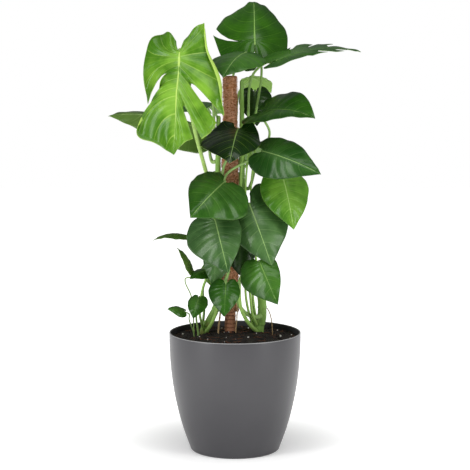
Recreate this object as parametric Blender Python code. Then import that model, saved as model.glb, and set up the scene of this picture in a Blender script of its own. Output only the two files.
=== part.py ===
"""A monstera on a coir pole in a round tapered pot.

Metres, +Z up. The origin is the centre of the pot's flat underside, and the plant's front faces -Y.
Each leaf is one solid, blade and stalk together, as it grew.
"""

import math

import bmesh
import bpy
from mathutils import Vector
from mathutils.geometry import interpolate_bezier

# Clearance between two pieces that touch
TOUCH_GAP = 0.0003

# Pot
POT_HEIGHT = 0.272
POT_RIM_RADIUS = 0.150
POT_BASE_RADIUS = 0.1005
POT_WALL = 0.0032
POT_FLOOR = 0.004
POT_TAPER_POWER = 2.25
POT_FOOT_ROUND = 0.006
POT_SIDES = 48
POT_RINGS = 7
POT_FOOT_STEPS = 3
POT_LIP_STEPS = 4

# Soil
SOIL_EDGE_DROP = 0.013
SOIL_MOUND_HEIGHT = 0.012
SOIL_MOUND_RADIUS = 0.120
SOIL_LUMP = 0.0012
SOIL_LUMP_WAVES = (91, 77, 150, 130)
SOIL_LUMP_PHASE = 1.3
SOIL_FINE_LUMPS = 0.6
SOIL_CALM_EDGE = 0.030
SOIL_SIDES = 36
SOIL_RINGS = 8
SOCKET_DEPTH = 0.030
SOCKET_CUT_ABOVE = 0.020

# Pole: a wood stake inside a sleeve of coir, which is thinner at the top
POLE_X = -0.011
POLE_Y = 0.012
POLE_ABOVE_RIM = 0.581
STAKE_RADIUS = 0.0125
STAKE_END_DEPTH = 0.190
STAKE_TOP_DROP = 0.004
SLEEVE_THICKNESS = 0.0070
SLEEVE_TOP_THICKNESS = 0.0040
SLEEVE_SHOULDER_LOW = 0.20
SLEEVE_SHOULDER_HIGH = 0.10
SLEEVE_FOOT_ROUND = (0.003, 0.006)
SLEEVE_TOP_ROUND = (0.002, 0.003)
SLEEVE_CLEAR_OF_SOIL = 0.058
SLEEVE_SIDES = 20

# Stems, leaves and roots
STEM_SIDES = 12
LEAF_THICKNESS = 0.0009
MIDRIB_WIDTH = 0.0022
MIDRIB_HEIGHT = 0.0028
MIDRIB_TAPER = 0.7
MIDRIB_EDGE_SHARE = 0.5
STALK_RADIUS = 0.0028
STALK_SIDES = 6
STALK_STEP = 0.028
STALK_RUN_OUT = 0.010
STALK_ABOVE_SOIL = 0.004
JOINT_BEND = 0.011
JOINT_NARROWING = 0.85
THICK_STALK_DROP = 3.0
CUP_REACH = 0.45
FACE_SAMPLE = 0.3
ROOT_SIDES = 6
SHARP_ANGLE = math.radians(45)

MATERIALS = {
    "pot_plastic": ((0.098, 0.098, 0.103, 1), 0.42),
    "potting_soil": ((0.030, 0.018, 0.012, 1), 0.95),
    "pole_wood": ((0.230, 0.080, 0.025, 1), 0.70),
    "coir": ((0.250, 0.075, 0.025, 1), 0.95),
    "green_stem": ((0.130, 0.290, 0.040, 1), 0.45),
    "aerial_root": ((0.330, 0.230, 0.110, 1), 0.70),
    "leaf_dark": ((0.018, 0.075, 0.020, 1), 0.32),
    "leaf_green": ((0.035, 0.140, 0.022, 1), 0.35),
    "leaf_young": ((0.150, 0.380, 0.025, 1), 0.38),
    "leaf_olive": ((0.060, 0.120, 0.030, 1), 0.45),
}

# Stems. Heights are above the pot's rim. foot is (x, y, radius) in the soil, free holds points
# (x, y, height, radius) on the way to the pole, and climbing holds points beside it as
# (bearing round the pole in degrees from +X, gap to the sleeve, height, radius)
STEMS = {
    "stem_left": {
        "foot": (-0.07, 0.026, 0.0105),
        "free": [(-0.07, 0.026, -0.002, 0.0105), (-0.058, 0.018, 0.022, 0.01)],
        "climbing": [
            (195, 0.0025, 0.062, 0.009),
            (200, 0.0027, 0.128, 0.0075),
            (192, 0.0026, 0.248, 0.007),
            (188, 0.0018, 0.368, 0.0065),
            (184, 0.0016, 0.488, 0.005),
        ],
    },
    "stem_right": {
        "foot": (0.056, 0.04, 0.0115),
        "free": [
            (0.056, 0.04, 0.001, 0.0115),
            (0.062, 0.036, 0.028, 0.011),
            (0.06, 0.028, 0.078, 0.01),
            (0.038, 0.01, 0.148, 0.008),
        ],
        "climbing": [
            (350, 0.0063, 0.228, 0.0072),
            (348, 0.0018, 0.328, 0.0068),
            (356, 0.0012, 0.428, 0.0064),
            (0, 0.002, 0.568, 0.0045),
        ],
    },
    "stem_back": {
        "foot": (-0.012, 0.056, 0.01),
        "free": [(-0.012, 0.056, 0.006, 0.01)],
        "climbing": [
            (92, 0.006, 0.068, 0.0085),
            (92, 0.0015, 0.188, 0.0075),
            (92, 0.0015, 0.368, 0.007),
            (92, 0.0025, 0.568, 0.005),
        ],
    },
}

# Leaf outlines for a blade one unit long, joint at (0, 0) and tip at (0, 1). Each row is one side vein:
# where it leaves the midrib, then its end on the margin at the right and at the left.
HEART = [
    (0.00, (0.07, -0.14), (0.07, -0.14)),
    (0.01, (0.21, -0.20), (0.21, -0.20)),
    (0.03, (0.35, -0.13), (0.35, -0.13)),
    (0.07, (0.44, 0.03), (0.44, 0.03)),
    (0.15, (0.46, 0.21), (0.46, 0.21)),
    (0.27, (0.41, 0.42), (0.41, 0.42)),
    (0.43, (0.31, 0.62), (0.31, 0.62)),
    (0.63, (0.18, 0.79), (0.18, 0.79)),
    (0.83, (0.07, 0.92), (0.07, 0.92)),
]
FENESTRATED = [
    (0.00, (0.08, -0.15), (0.08, -0.15)),
    (0.01, (0.24, -0.22), (0.24, -0.22)),
    (0.03, (0.40, -0.14), (0.40, -0.14)),
    (0.07, (0.49, 0.05), (0.49, 0.05)),
    (0.13, (0.51, 0.26), (0.51, 0.26)),
    (0.19, (0.50, 0.33), (0.50, 0.33)),
    (0.29, (0.45, 0.52), (0.45, 0.52)),
    (0.38, (0.43, 0.58), (0.43, 0.58)),
    (0.50, (0.33, 0.74), (0.33, 0.74)),
    (0.58, (0.29, 0.77), (0.29, 0.77)),
    (0.78, (0.11, 0.92), (0.11, 0.92)),
]
CROWN = [
    (0.00, (0.03, -0.11), (0.04, -0.10)),
    (0.01, (0.10, -0.21), (0.11, -0.20)),
    (0.03, (0.23, -0.28), (0.22, -0.21)),
    (0.06, (0.32, -0.04), (0.33, -0.06)),
    (0.10, (0.48, 0.33), (0.34, 0.33)),
    (0.15, (0.44, 0.62), (0.28, 0.52)),
    (0.21, (0.38, 0.68), (0.15, 0.30)),
    (0.28, (0.32, 0.79), (0.215, 0.43)),
    (0.37, (0.25, 0.84), (0.31, 0.64)),
    (0.45, (0.17, 0.84), (0.37, 0.83)),
    (0.62, (0.09, 0.89), (0.21, 0.89)),
    (0.82, (0.03, 0.95), (0.07, 0.96)),
]
TOP = [
    (0.00, (0.10, -0.20), (0.10, -0.20)),
    (0.01, (0.25, -0.28), (0.25, -0.28)),
    (0.02, (0.42, -0.22), (0.42, -0.20)),
    (0.03, (0.53, -0.02), (0.49, 0.02)),
    (0.04, (0.64, 0.44), (0.50, 0.24)),
    (0.06, (0.59, 0.58), (0.47, 0.40)),
    (0.20, (0.49, 0.70), (0.36, 0.62)),
    (0.40, (0.35, 0.80), (0.24, 0.80)),
    (0.62, (0.17, 0.88), (0.13, 0.93)),
    (0.85, (0.06, 0.98), (0.05, 0.99)),
]

# Splits in a blade: (the vein that the gap follows, how far out from the midrib it starts)
SPLITS = {
    "heart": {"right": {}, "left": {}},
    "fenestrated": {"right": {4: 0.6, 6: 0.6, 8: 0.6}, "left": {4: 0.6, 6: 0.6, 8: 0.6}},
    "crown": {"right": {5: 0.3, 8: 0.3}, "left": {5: 0.6}},
    "top": {"right": {4: 0.3}, "left": {}},
}
OUTLINES = {"heart": HEART, "fenestrated": FENESTRATED, "crown": CROWN, "top": TOP}

# How far along each side vein the blade's points lie, past the midrib
VEIN_STEPS = {
    "heart": (0.55, 1.0),
    "fenestrated": (0.6, 1.0),
    "crown": (0.3, 0.6, 1.0),
    "top": (0.3, 0.65, 1.0),
}

LEAF_DEFAULTS = {
    "outline": "heart",
    "colour": "leaf_green",
    "width": (1.0, 1.0),
    "vein_bend": ((0.6, 0.25), (0.6, 0.25)),
    "arch": 0.08,
    "fold": (12, 12),
    "cup": (10, 10),
    "lobe_lift": 0.0,
    "behind": 60,
    "stalk": STALK_RADIUS,
    "route": [],
}

# Each leaf: joint and tip of the blade as (x, y, height above the pot's rim), the way its upper side
# faces, and where its stalk comes from, as (stem, height, bearing round the stem in degrees from +X)
# or as its (x, y) in the soil. Pairs are (right half, left half), angles are in degrees
LEAVES = {
    "leaf_crown_young": {
        "outline": "crown", "colour": "leaf_young", "joint": (-0.119, -0.125, 0.636),
        "tip": (-0.13, -0.195, 0.416), "face": (0.0, -0.92, 0.38), "fold": (0, 12), "cup": (5, 10),
        "arch": 0.05, "vein_bend": ((0.5, 0.5), (0.8, 0.1)), "behind": 95, "stalk": 0.0042,
        "from": ("stem_left", 0.288, 250),
        "route": [(-0.055, -0.022, 0.328), (-0.067, -0.045, 0.378), (-0.088, -0.062, 0.458),
                  (-0.106, -0.066, 0.548), (-0.118, -0.072, 0.608)],
    },
    "leaf_far_left": {
        "colour": "leaf_olive", "joint": (-0.086, 0.03, 0.463), "tip": (-0.287, 0.02, 0.491),
        "face": (0.0, -0.4, 0.92), "width": (0.9, 0.9), "from": ("stem_left", 0.388, 150),
        "route": [(-0.062, 0.022, 0.428)],
    },
    "leaf_top": {
        "outline": "top", "joint": (0.045, 0.055, 0.657), "tip": (0.044, 0.19, 0.753),
        "face": (0.0, -0.6, 0.8), "vein_bend": ((0.7, -0.1), (0.6, 0.25)),
        "from": ("stem_right", 0.388, 0),
        "route": [(0.036, 0.018, 0.438), (0.048, 0.032, 0.504), (0.06, 0.03, 0.596)],
    },
    "leaf_top_right": {
        "outline": "fenestrated", "joint": (0.098, -0.025, 0.618), "tip": (0.284, 0.02, 0.635),
        "face": (0.0, -0.15, 0.99), "width": (0.8, 0.5), "fold": (0, 0), "cup": (0, 5),
        "from": ("stem_right", 0.448, 20),
        "route": [(0.03, 0.01, 0.498), (0.038, 0.022, 0.578), (0.07, 0.012, 0.61)],
    },
    "leaf_crown_front": {
        "joint": (0.022, -0.025, 0.633), "tip": (-0.026, -0.125, 0.579),
        "face": (-0.1, -0.35, 0.93), "width": (1.0, 1.2), "fold": (12, 0),
        "from": ("stem_left", 0.428, 200),
        "route": [(-0.047, 0.004, 0.458), (-0.048, 0.0, 0.538), (-0.03, 0.02, 0.608)],
    },
    "leaf_pole_back": {
        "colour": "leaf_young", "joint": (0.038, 0.095, 0.578), "tip": (0.085, 0.15, 0.54),
        "face": (0.0, 0.5, 0.85), "from": ("stem_back", 0.428, 45),
        "route": [(0.002, 0.066, 0.478), (0.01, 0.088, 0.543)],
    },
    "leaf_mid_back": {
        "colour": "leaf_dark", "joint": (0.046, 0.064, 0.543), "tip": (0.05, 0.05, 0.466),
        "face": (0.0, -1.0, 0.1), "width": (1.15, 1.15), "behind": 90,
        "from": ("stem_back", 0.368, 30), "route": [(0.022, 0.072, 0.428), (0.042, 0.085, 0.508)],
    },
    "leaf_mid_right": {
        "colour": "leaf_dark", "joint": (0.062, -0.012, 0.501), "tip": (0.174, -0.115, 0.491),
        "face": (0.0, -0.3, 0.95), "fold": (-30, 0), "behind": 90,
        "from": ("stem_right", 0.328, -20), "route": [(0.05, 0.01, 0.388), (0.078, 0.016, 0.448)],
    },
    "leaf_center_dark": {
        "colour": "leaf_dark", "joint": (0.007, -0.05, 0.465), "tip": (-0.012, -0.165, 0.396),
        "face": (0.0, -0.75, 0.65), "width": (0.95, 1.4), "lobe_lift": -3.2, "behind": 90,
        "from": ("stem_left", 0.348, -60), "route": [(-0.024, -0.028, 0.383), (0.0, -0.042, 0.428)],
    },
    "leaf_right": {
        "joint": (0.062, -0.06, 0.416), "tip": (0.187, -0.13, 0.37), "face": (-0.15, -0.85, 0.5),
        "width": (0.8, 0.8), "behind": 90, "from": ("stem_left", 0.318, -45),
        "route": [(-0.02, -0.024, 0.36), (0.024, -0.034, 0.39)],
    },
    "leaf_right_young": {
        "colour": "leaf_young", "joint": (0.107, -0.04, 0.357), "tip": (0.13, -0.09, 0.244),
        "face": (0.1, -0.95, 0.25), "behind": 80, "from": ("stem_right", 0.248, -10),
        "route": [(0.05, -0.005, 0.288), (0.088, -0.012, 0.34)],
    },
    "leaf_heart_left": {
        "joint": (-0.024, -0.08, 0.349), "tip": (-0.097, -0.15, 0.277), "face": (0.1, -0.85, 0.5),
        "width": (1.5, 1.15), "fold": (2, 12), "behind": 80, "from": ("stem_left", 0.258, -70),
        "route": [(-0.032, -0.03, 0.298), (-0.024, -0.05, 0.34)],
    },
    "leaf_heart_lower_left": {
        "joint": (-0.044, -0.085, 0.266), "tip": (-0.015, -0.135, 0.154), "face": (0.0, -0.97, 0.2),
        "width": (0.95, 1.4), "behind": 80, "from": ("stem_left", 0.218, -100),
        "route": [(-0.043, -0.04, 0.242)],
    },
    "leaf_heart_right": {
        "joint": (0.033, -0.05, 0.295), "tip": (0.081, -0.1, 0.165), "face": (0.0, -0.95, 0.3),
        "width": (1.25, 1.0), "behind": 80, "from": ("stem_right", 0.233, -60),
        "route": [(0.031, -0.018, 0.263)],
    },
    "leaf_side_left": {
        "colour": "leaf_olive", "joint": (-0.114, 0.03, 0.219), "tip": (-0.188, 0.03, 0.206),
        "face": (0.0, -0.12, 1.0), "width": (0.7, 0.7), "arch": 0.12,
        "from": ("stem_left", 0.148, 160), "route": [(-0.075, 0.02, 0.18)],
    },
    "leaf_low_center": {
        "joint": (-0.041, -0.045, 0.192), "tip": (-0.049, -0.07, 0.114), "face": (0.0, -0.95, 0.2),
        "width": (1.0, 0.8), "behind": 80, "from": ("stem_left", 0.118, -100),
        "route": [(-0.042, -0.018, 0.158)],
    },
    "leaf_low_back": {
        "colour": "leaf_dark", "joint": (0.011, -0.028, 0.213), "tip": (0.011, -0.04, 0.135),
        "face": (0.0, -1.0, 0.1), "width": (1.2, 1.2), "behind": 60,
        "from": ("stem_right", 0.148, -120), "route": [(0.026, -0.014, 0.178)],
    },
    "leaf_low_right": {
        "joint": (0.055, -0.09, 0.172), "tip": (0.094, -0.13, 0.083), "face": (-0.1, -0.95, 0.25),
        "width": (0.75, 1.3), "behind": 70, "stalk": 0.004, "from": ("stem_right", 0.033, 235),
        "route": [(0.022, -0.008, 0.046), (0.005, -0.03, 0.08), (0.012, -0.05, 0.128),
                  (0.035, -0.072, 0.164)],
    },
    "leaf_front_small": {
        "joint": (-0.02, -0.1, 0.125), "tip": (-0.024, -0.13, 0.056), "face": (0.0, -0.92, 0.35),
        "width": (1.0, 1.2), "behind": 30, "from": ("stem_left", 0.088, -30),
        "route": [(-0.024, -0.032, 0.116), (-0.013, -0.068, 0.152)],
    },
    "leaf_small_left": {
        "joint": (-0.081, -0.06, 0.087), "tip": (-0.093, -0.09, 0.045), "face": (-0.1, -0.9, 0.4),
        "behind": 90, "stalk": 0.0022, "from": (-0.084, 0.004), "route": [(-0.088, -0.014, 0.038)],
    },
    "leaf_tiny_left": {
        "joint": (-0.115, -0.05, 0.056), "tip": (-0.152, -0.06, 0.062), "face": (0.0, -0.6, 0.8),
        "behind": 10, "stalk": 0.0014, "from": (-0.094, 0.008), "route": [(-0.104, -0.018, 0.03)],
    },
    "leaf_upright_small": {
        "colour": "leaf_olive", "joint": (-0.096, -0.022, 0.146), "tip": (-0.131, -0.024, 0.196),
        "face": (0.0, -0.25, 0.95), "width": (0.65, 0.65), "behind": 15, "stalk": 0.0014,
        "from": (-0.094, 0.026),
        "route": [(-0.096, 0.012, 0.038), (-0.1, -0.004, 0.083), (-0.113, -0.016, 0.123)],
    },
    "leaf_small_inner": {
        "joint": (-0.064, -0.03, 0.146), "tip": (-0.101, -0.06, 0.13), "face": (0.0, -0.5, 0.85),
        "behind": 60, "stalk": 0.003, "from": (-0.076, 0.05),
        "route": [(-0.071, 0.036, 0.048), (-0.073, 0.01, 0.098)],
    },
    "leaf_back_left": {
        "outline": "fenestrated", "joint": (-0.055, 0.11, 0.518), "tip": (-0.135, 0.22, 0.493),
        "face": (-0.1, 0.25, 0.95), "from": ("stem_back", 0.408, 120),
        "route": [(-0.03, 0.07, 0.458)],
    },
    "leaf_back_right": {
        "outline": "fenestrated", "joint": (0.08, 0.11, 0.418), "tip": (0.15, 0.23, 0.348),
        "face": (0.2, 0.5, 0.8), "from": ("stem_back", 0.308, 50), "route": [(0.02, 0.075, 0.368)],
    },
    "leaf_back_middle": {
        "joint": (-0.03, 0.11, 0.358), "tip": (-0.035, 0.215, 0.278), "face": (-0.1, 0.7, 0.7),
        "from": ("stem_back", 0.278, 100), "route": [(-0.022, 0.08, 0.338)],
    },
    "leaf_back_low_right": {
        "joint": (0.045, 0.1, 0.268), "tip": (0.075, 0.19, 0.158), "face": (0.2, 0.8, 0.6),
        "from": ("stem_back", 0.178, 50), "route": [(0.012, 0.075, 0.228)],
    },
    "leaf_back_low_left": {
        "joint": (-0.03, 0.1, 0.248), "tip": (-0.05, 0.18, 0.158), "face": (-0.2, 0.8, 0.6),
        "from": ("stem_back", 0.138, 130), "route": [(-0.036, 0.07, 0.188)],
    },
    "leaf_back_bottom": {
        "joint": (-0.035, 0.09, 0.148), "tip": (-0.045, 0.15, 0.068), "face": (0.0, 0.85, 0.5),
        "from": ("stem_back", 0.068, 80), "route": [(-0.006, 0.072, 0.098)],
    },
    "leaf_back_top": {
        "outline": "fenestrated", "joint": (0.0, 0.1, 0.613), "tip": (0.0, 0.235, 0.633),
        "face": (0.0, 0.1, 1.0), "width": (0.8, 0.8), "from": ("stem_back", 0.468, 100),
        "route": [(-0.014, 0.072, 0.538)],
    },
}

# Aerial roots: the radius, and points (x, y, height above the rim) down to the soil
ROOTS = {
    "root_front": (0.0013, [(0.002, -0.0072, 0.073), (0.005, -0.016, 0.062),
                        (0.004, -0.018, 0.028), (0.002, -0.017, 0.008)]),
    "root_right": (0.0012, [(0.0735, 0.0285, 0.05), (0.08, 0.026, 0.038), (0.084, 0.024, 0.02),
                        (0.086, 0.024, -0.004)]),
    "root_dark": (0.0022, [(-0.0345, -0.0068, 0.073), (-0.033, -0.012, 0.053),
                        (-0.036, -0.01, 0.023), (-0.038, -0.008, 0.003)]),
}


def clear_scene():
    for old in list(bpy.data.objects):
        bpy.data.objects.remove(old, do_unlink=True)


def material(name):
    found = bpy.data.materials.get(name)
    if found:
        return found
    colour, roughness = MATERIALS[name]
    made = bpy.data.materials.new(name)
    made.use_nodes = True
    shader = made.node_tree.nodes["Principled BSDF"]
    shader.inputs["Base Color"].default_value = colour
    shader.inputs["Roughness"].default_value = roughness
    made.diffuse_color = colour
    return made


def finish(name, mesh_data, material_name, place, parent):
    """Turns a bmesh in world coordinates into an object whose origin is at place."""
    bmesh.ops.recalc_face_normals(mesh_data, faces=mesh_data.faces)
    bmesh.ops.translate(mesh_data, verts=mesh_data.verts, vec=-Vector(place))
    mesh = bpy.data.meshes.new(name)
    mesh_data.to_mesh(mesh)
    mesh_data.free()
    mesh.shade_smooth()
    mesh.set_sharp_from_angle(angle=SHARP_ANGLE)
    mesh.materials.append(material(material_name))
    obj = bpy.data.objects.new(name, mesh)
    obj.location = place
    bpy.context.collection.objects.link(obj)
    obj.parent = parent
    return obj


# ---- Turned pieces ----


def turned(rings, sides, open_ends=False, centre=(0.0, 0.0)):
    """A closed turned shape. rings are (radius, z) from the bottom of the outside round to the end.

    Without open_ends the first and last rings are filled, and with it the profile is a closed loop.
    """
    made = bmesh.new()
    loops = []
    for radius, z in rings:
        loop = []
        for i in range(sides):
            turn = 2 * math.pi * i / sides
            x, y = centre[0] + radius * math.cos(turn), centre[1] + radius * math.sin(turn)
            loop.append(made.verts.new((x, y, z)))
        loops.append(loop)
    pairs = list(zip(loops, loops[1:]))
    if open_ends:
        pairs.append((loops[-1], loops[0]))
    for low, high in pairs:
        for i in range(sides):
            j = (i + 1) % sides
            made.faces.new((low[i], low[j], high[j], high[i]))
    if not open_ends:
        made.faces.new(loops[0])
        made.faces.new(loops[-1])
    return made


def pot_radius(z):
    """Outer radius: steep near the rim and rounding in towards the foot."""
    share = 1 - (1 - z / POT_HEIGHT) ** POT_TAPER_POWER
    return POT_BASE_RADIUS + (POT_RIM_RADIUS - POT_BASE_RADIUS) * share


def pot_inner_radius(z):
    return pot_radius(z) - POT_WALL


def add_pot(parent):
    rings = []
    for i in range(POT_FOOT_STEPS + 1):
        turn = math.pi / 2 * i / POT_FOOT_STEPS
        inset = POT_FOOT_ROUND * (1 - math.sin(turn))
        z = POT_FOOT_ROUND * (1 - math.cos(turn))
        rings.append((pot_radius(POT_FOOT_ROUND) - inset, z))
    lip = POT_WALL / 2
    for i in range(1, POT_RINGS + 1):
        z = POT_FOOT_ROUND + (POT_HEIGHT - lip - POT_FOOT_ROUND) * i / POT_RINGS
        rings.append((pot_radius(z), z))
    rim_middle = pot_radius(POT_HEIGHT - lip) - lip
    for i in range(1, POT_LIP_STEPS):
        turn = math.pi * i / POT_LIP_STEPS
        rings.append((rim_middle + lip * math.cos(turn), POT_HEIGHT - lip + lip * math.sin(turn)))
    for i in range(POT_RINGS, -1, -1):
        z = POT_FLOOR + (POT_HEIGHT - lip - POT_FLOOR) * i / POT_RINGS
        rings.append((pot_inner_radius(z), z))
    return finish("pot", turned(rings, POT_SIDES), "pot_plastic", (0, 0, 0), parent)


# ---- Soil ----


def soil_top(x, y):
    """Height of the soil: level near the wall, mounded round the stems, with low lumps."""
    away = math.hypot(x, y)
    mound = 0.5 + 0.5 * math.cos(math.pi * min(away / SOIL_MOUND_RADIUS, 1))
    across, along, fine_along, fine_across = SOIL_LUMP_WAVES
    lumps = math.sin(across * x + SOIL_LUMP_PHASE) * math.cos(along * y)
    lumps += SOIL_FINE_LUMPS * math.sin(fine_along * y - fine_across * x)
    calm = min(1, max(0, (POT_RIM_RADIUS - POT_WALL - away) / SOIL_CALM_EDGE))
    return POT_HEIGHT - SOIL_EDGE_DROP + SOIL_MOUND_HEIGHT * mound + SOIL_LUMP * lumps * calm


def soil_sockets():
    """Upright holes that the stake, stems, stalks and roots stand in: (x, y, radius, depth)."""
    holes = [(POLE_X, POLE_Y, STAKE_RADIUS, STAKE_END_DEPTH)]
    for stem in STEMS.values():
        holes.append((*stem["foot"], SOCKET_DEPTH))
    for name in LEAVES:
        leaf = LEAF_DEFAULTS | LEAVES[name]
        if len(leaf["from"]) == 2:
            holes.append((leaf["from"][0], leaf["from"][1], leaf["stalk"], SOCKET_DEPTH))
    for radius, points in ROOTS.values():
        holes.append((points[-1][0], points[-1][1], radius, SOCKET_DEPTH))
    return holes


def add_soil(parent):
    made = bmesh.new()
    floor = POT_FLOOR + TOUCH_GAP
    edge_z = POT_HEIGHT - SOIL_EDGE_DROP
    edge = pot_inner_radius(edge_z) - TOUCH_GAP / math.cos(math.pi / POT_SIDES)
    edge *= math.cos(math.pi / POT_SIDES)
    loops = []
    for i in range(1, SOIL_RINGS + 1):
        loop = []
        radius = edge * i / SOIL_RINGS
        for j in range(SOIL_SIDES):
            turn = 2 * math.pi * j / SOIL_SIDES
            x, y = radius * math.cos(turn), radius * math.sin(turn)
            loop.append(made.verts.new((x, y, soil_top(x, y))))
        loops.append(loop)
    for i in range(1, POT_RINGS + 1):
        z = edge_z + (floor - edge_z) * i / POT_RINGS
        radius = (pot_inner_radius(z) - TOUCH_GAP) * math.cos(math.pi / POT_SIDES)
        loops.append(
            [made.verts.new((radius * math.cos(a), radius * math.sin(a), z))
             for a in (2 * math.pi * j / SOIL_SIDES for j in range(SOIL_SIDES))]
        )
    for outer, inner in zip(loops, loops[1:]):
        for j in range(SOIL_SIDES):
            k = (j + 1) % SOIL_SIDES
            made.faces.new((outer[j], outer[k], inner[k], inner[j]))
    centre = made.verts.new((0, 0, soil_top(0, 0)))
    for j in range(SOIL_SIDES):
        made.faces.new((centre, loops[0][j], loops[0][(j + 1) % SOIL_SIDES]))
    made.faces.new(loops[-1])
    soil = finish("soil", made, "potting_soil", (0, 0, 0), parent)
    add_socket_cuts(soil)
    return soil


def add_socket_cuts(soil):
    holes = bmesh.new()
    for x, y, radius, depth in soil_sockets():
        wide = (radius + TOUCH_GAP) / math.cos(math.pi / STEM_SIDES)
        top = POT_HEIGHT + SOCKET_CUT_ABOVE
        low = POT_HEIGHT - SOIL_EDGE_DROP - depth
        hole = turned([(wide, low - TOUCH_GAP), (wide, top)], STEM_SIDES, centre=(x, y))
        spare = bpy.data.meshes.new("spare")
        hole.to_mesh(spare)
        hole.free()
        holes.from_mesh(spare)
        bpy.data.meshes.remove(spare)
    cutter = finish("socket_cutter", holes, "potting_soil", (0, 0, 0), None)
    cutter.hide_render = True
    cutter.display_type = "WIRE"
    cut = soil.modifiers.new("sockets", "BOOLEAN")
    cut.operation = "DIFFERENCE"
    cut.object = cutter


# ---- Swept pieces ----


def smooth_path(points, step):
    """Points every step or so along a smooth curve through the given ones."""
    points = [Vector(p) for p in points]
    path = [points[0]]
    for i in range(len(points) - 1):
        before = points[max(i - 1, 0)]
        after = points[min(i + 2, len(points) - 1)]
        start, end = points[i], points[i + 1]
        length = (end - start).length
        leave = (end - before).normalized() * length / 3
        arrive = (after - start).normalized() * length / 3
        count = max(1, round(length / step))
        path += interpolate_bezier(start, start + leave, end - arrive, end, count + 1)[1:]
    return path


def sweep_loops(made, path, radii, sides, start_side, first_angle=0.0):
    """Rings of points square to the path, each turned as little as it can be from the one before."""
    loops = []
    side = Vector(start_side)
    for i, point in enumerate(path):
        along = (path[min(i + 1, len(path) - 1)] - path[max(i - 1, 0)]).normalized()
        side = (side - along * side.dot(along)).normalized()
        up = along.cross(side)
        loop = []
        for j in range(sides):
            turn = first_angle + 2 * math.pi * j / sides
            loop.append(made.verts.new(point + radii[i] * (side * math.cos(turn) + up * math.sin(turn))))
        loops.append(loop)
    return loops


def join_loops(made, loops):
    for low, high in zip(loops, loops[1:]):
        for j in range(len(low)):
            k = (j + 1) % len(low)
            made.faces.new((low[j], low[k], high[k], high[j]))


def above_rim(point):
    """A point whose height is given from the pot's rim."""
    return Vector((point[0], point[1], POT_HEIGHT + point[2]))


def sleeve_radius(height):
    """Outside of the coir sleeve at a height above the pot's rim."""
    low, high = POLE_ABOVE_RIM - SLEEVE_SHOULDER_LOW, POLE_ABOVE_RIM - SLEEVE_SHOULDER_HIGH
    share = min(1, max(0, (height - low) / (high - low)))
    return STAKE_RADIUS + SLEEVE_THICKNESS + (SLEEVE_TOP_THICKNESS - SLEEVE_THICKNESS) * share


def stem_points(name):
    """The stem's points with their radii, from the end of its socket up."""
    stem = STEMS[name]
    x, y, radius = stem["foot"]
    points = [(x, y, POT_HEIGHT - SOIL_EDGE_DROP - SOCKET_DEPTH, radius)]
    points += [(*above_rim(free), free[3]) for free in stem["free"]]
    for bearing, gap, height, radius in stem["climbing"]:
        away = STAKE_RADIUS + SLEEVE_THICKNESS + gap + radius
        turn = math.radians(bearing)
        x, y = POLE_X + away * math.cos(turn), POLE_Y + away * math.sin(turn)
        points.append((*above_rim((x, y, height)), radius))
    return points


def stem_at(name, height):
    """Centre, radius and direction of a stem at a height above the pot's rim."""
    points = stem_points(name)
    z = POT_HEIGHT + height
    for low, high in zip(points, points[1:]):
        if z <= high[2]:
            break
    share = (z - low[2]) / (high[2] - low[2])
    centre = Vector(low[:3]).lerp(Vector(high[:3]), share)
    radius = low[3] + (high[3] - low[3]) * share
    return centre, radius, (Vector(high[:3]) - Vector(low[:3])).normalized()


def add_stem(name, parent):
    points = stem_points(name)
    made = bmesh.new()
    path = [Vector(p[:3]) for p in points]
    loops = sweep_loops(made, path, [p[3] for p in points], STEM_SIDES, (1, 0, 0))
    join_loops(made, loops)
    made.faces.new(loops[0])
    made.faces.new(loops[-1])
    return finish(name, made, "green_stem", path[0], parent)


def add_root(name, parent):
    radius, points = ROOTS[name]
    foot = (points[-1][0], points[-1][1], POT_HEIGHT - SOIL_EDGE_DROP - SOCKET_DEPTH)
    path = smooth_path([above_rim(p) for p in points], STALK_STEP) + [Vector(foot)]
    made = bmesh.new()
    loops = sweep_loops(made, path, [radius] * len(path), ROOT_SIDES, (1, 0, 0))
    join_loops(made, loops)
    made.faces.new(loops[0])
    made.faces.new(loops[-1])
    return finish(name, made, "aerial_root", path[0], parent)


# ---- Pole ----


def add_pole(parent):
    low = POT_HEIGHT - SOIL_EDGE_DROP - STAKE_END_DEPTH
    top = POT_HEIGHT + POLE_ABOVE_RIM
    axis = (POLE_X, POLE_Y)
    stake_rings = [(STAKE_RADIUS, low), (STAKE_RADIUS, top - STAKE_TOP_DROP)]
    finish("pole_stake", turned(stake_rings, SLEEVE_SIDES, centre=axis), "pole_wood", (0, 0, 0), parent)
    bottom = POT_HEIGHT - SOIL_EDGE_DROP + SLEEVE_CLEAR_OF_SOIL
    bore = (STAKE_RADIUS + TOUCH_GAP) / math.cos(math.pi / SLEEVE_SIDES)
    wide, narrow = sleeve_radius(0), sleeve_radius(POLE_ABOVE_RIM)
    rings = [
        (bore, bottom),
        (wide - SLEEVE_FOOT_ROUND[0], bottom),
        (wide, bottom + SLEEVE_FOOT_ROUND[1]),
        (wide, top - SLEEVE_SHOULDER_LOW),
        (narrow, top - SLEEVE_SHOULDER_HIGH),
        (narrow, top - SLEEVE_TOP_ROUND[1]),
        (narrow - SLEEVE_TOP_ROUND[0], top),
        (bore, top),
    ]
    sleeve = turned(rings, SLEEVE_SIDES, open_ends=True, centre=axis)
    finish("coir_sleeve", sleeve, "coir", (0, 0, 0), parent)


# ---- Leaves ----


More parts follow.
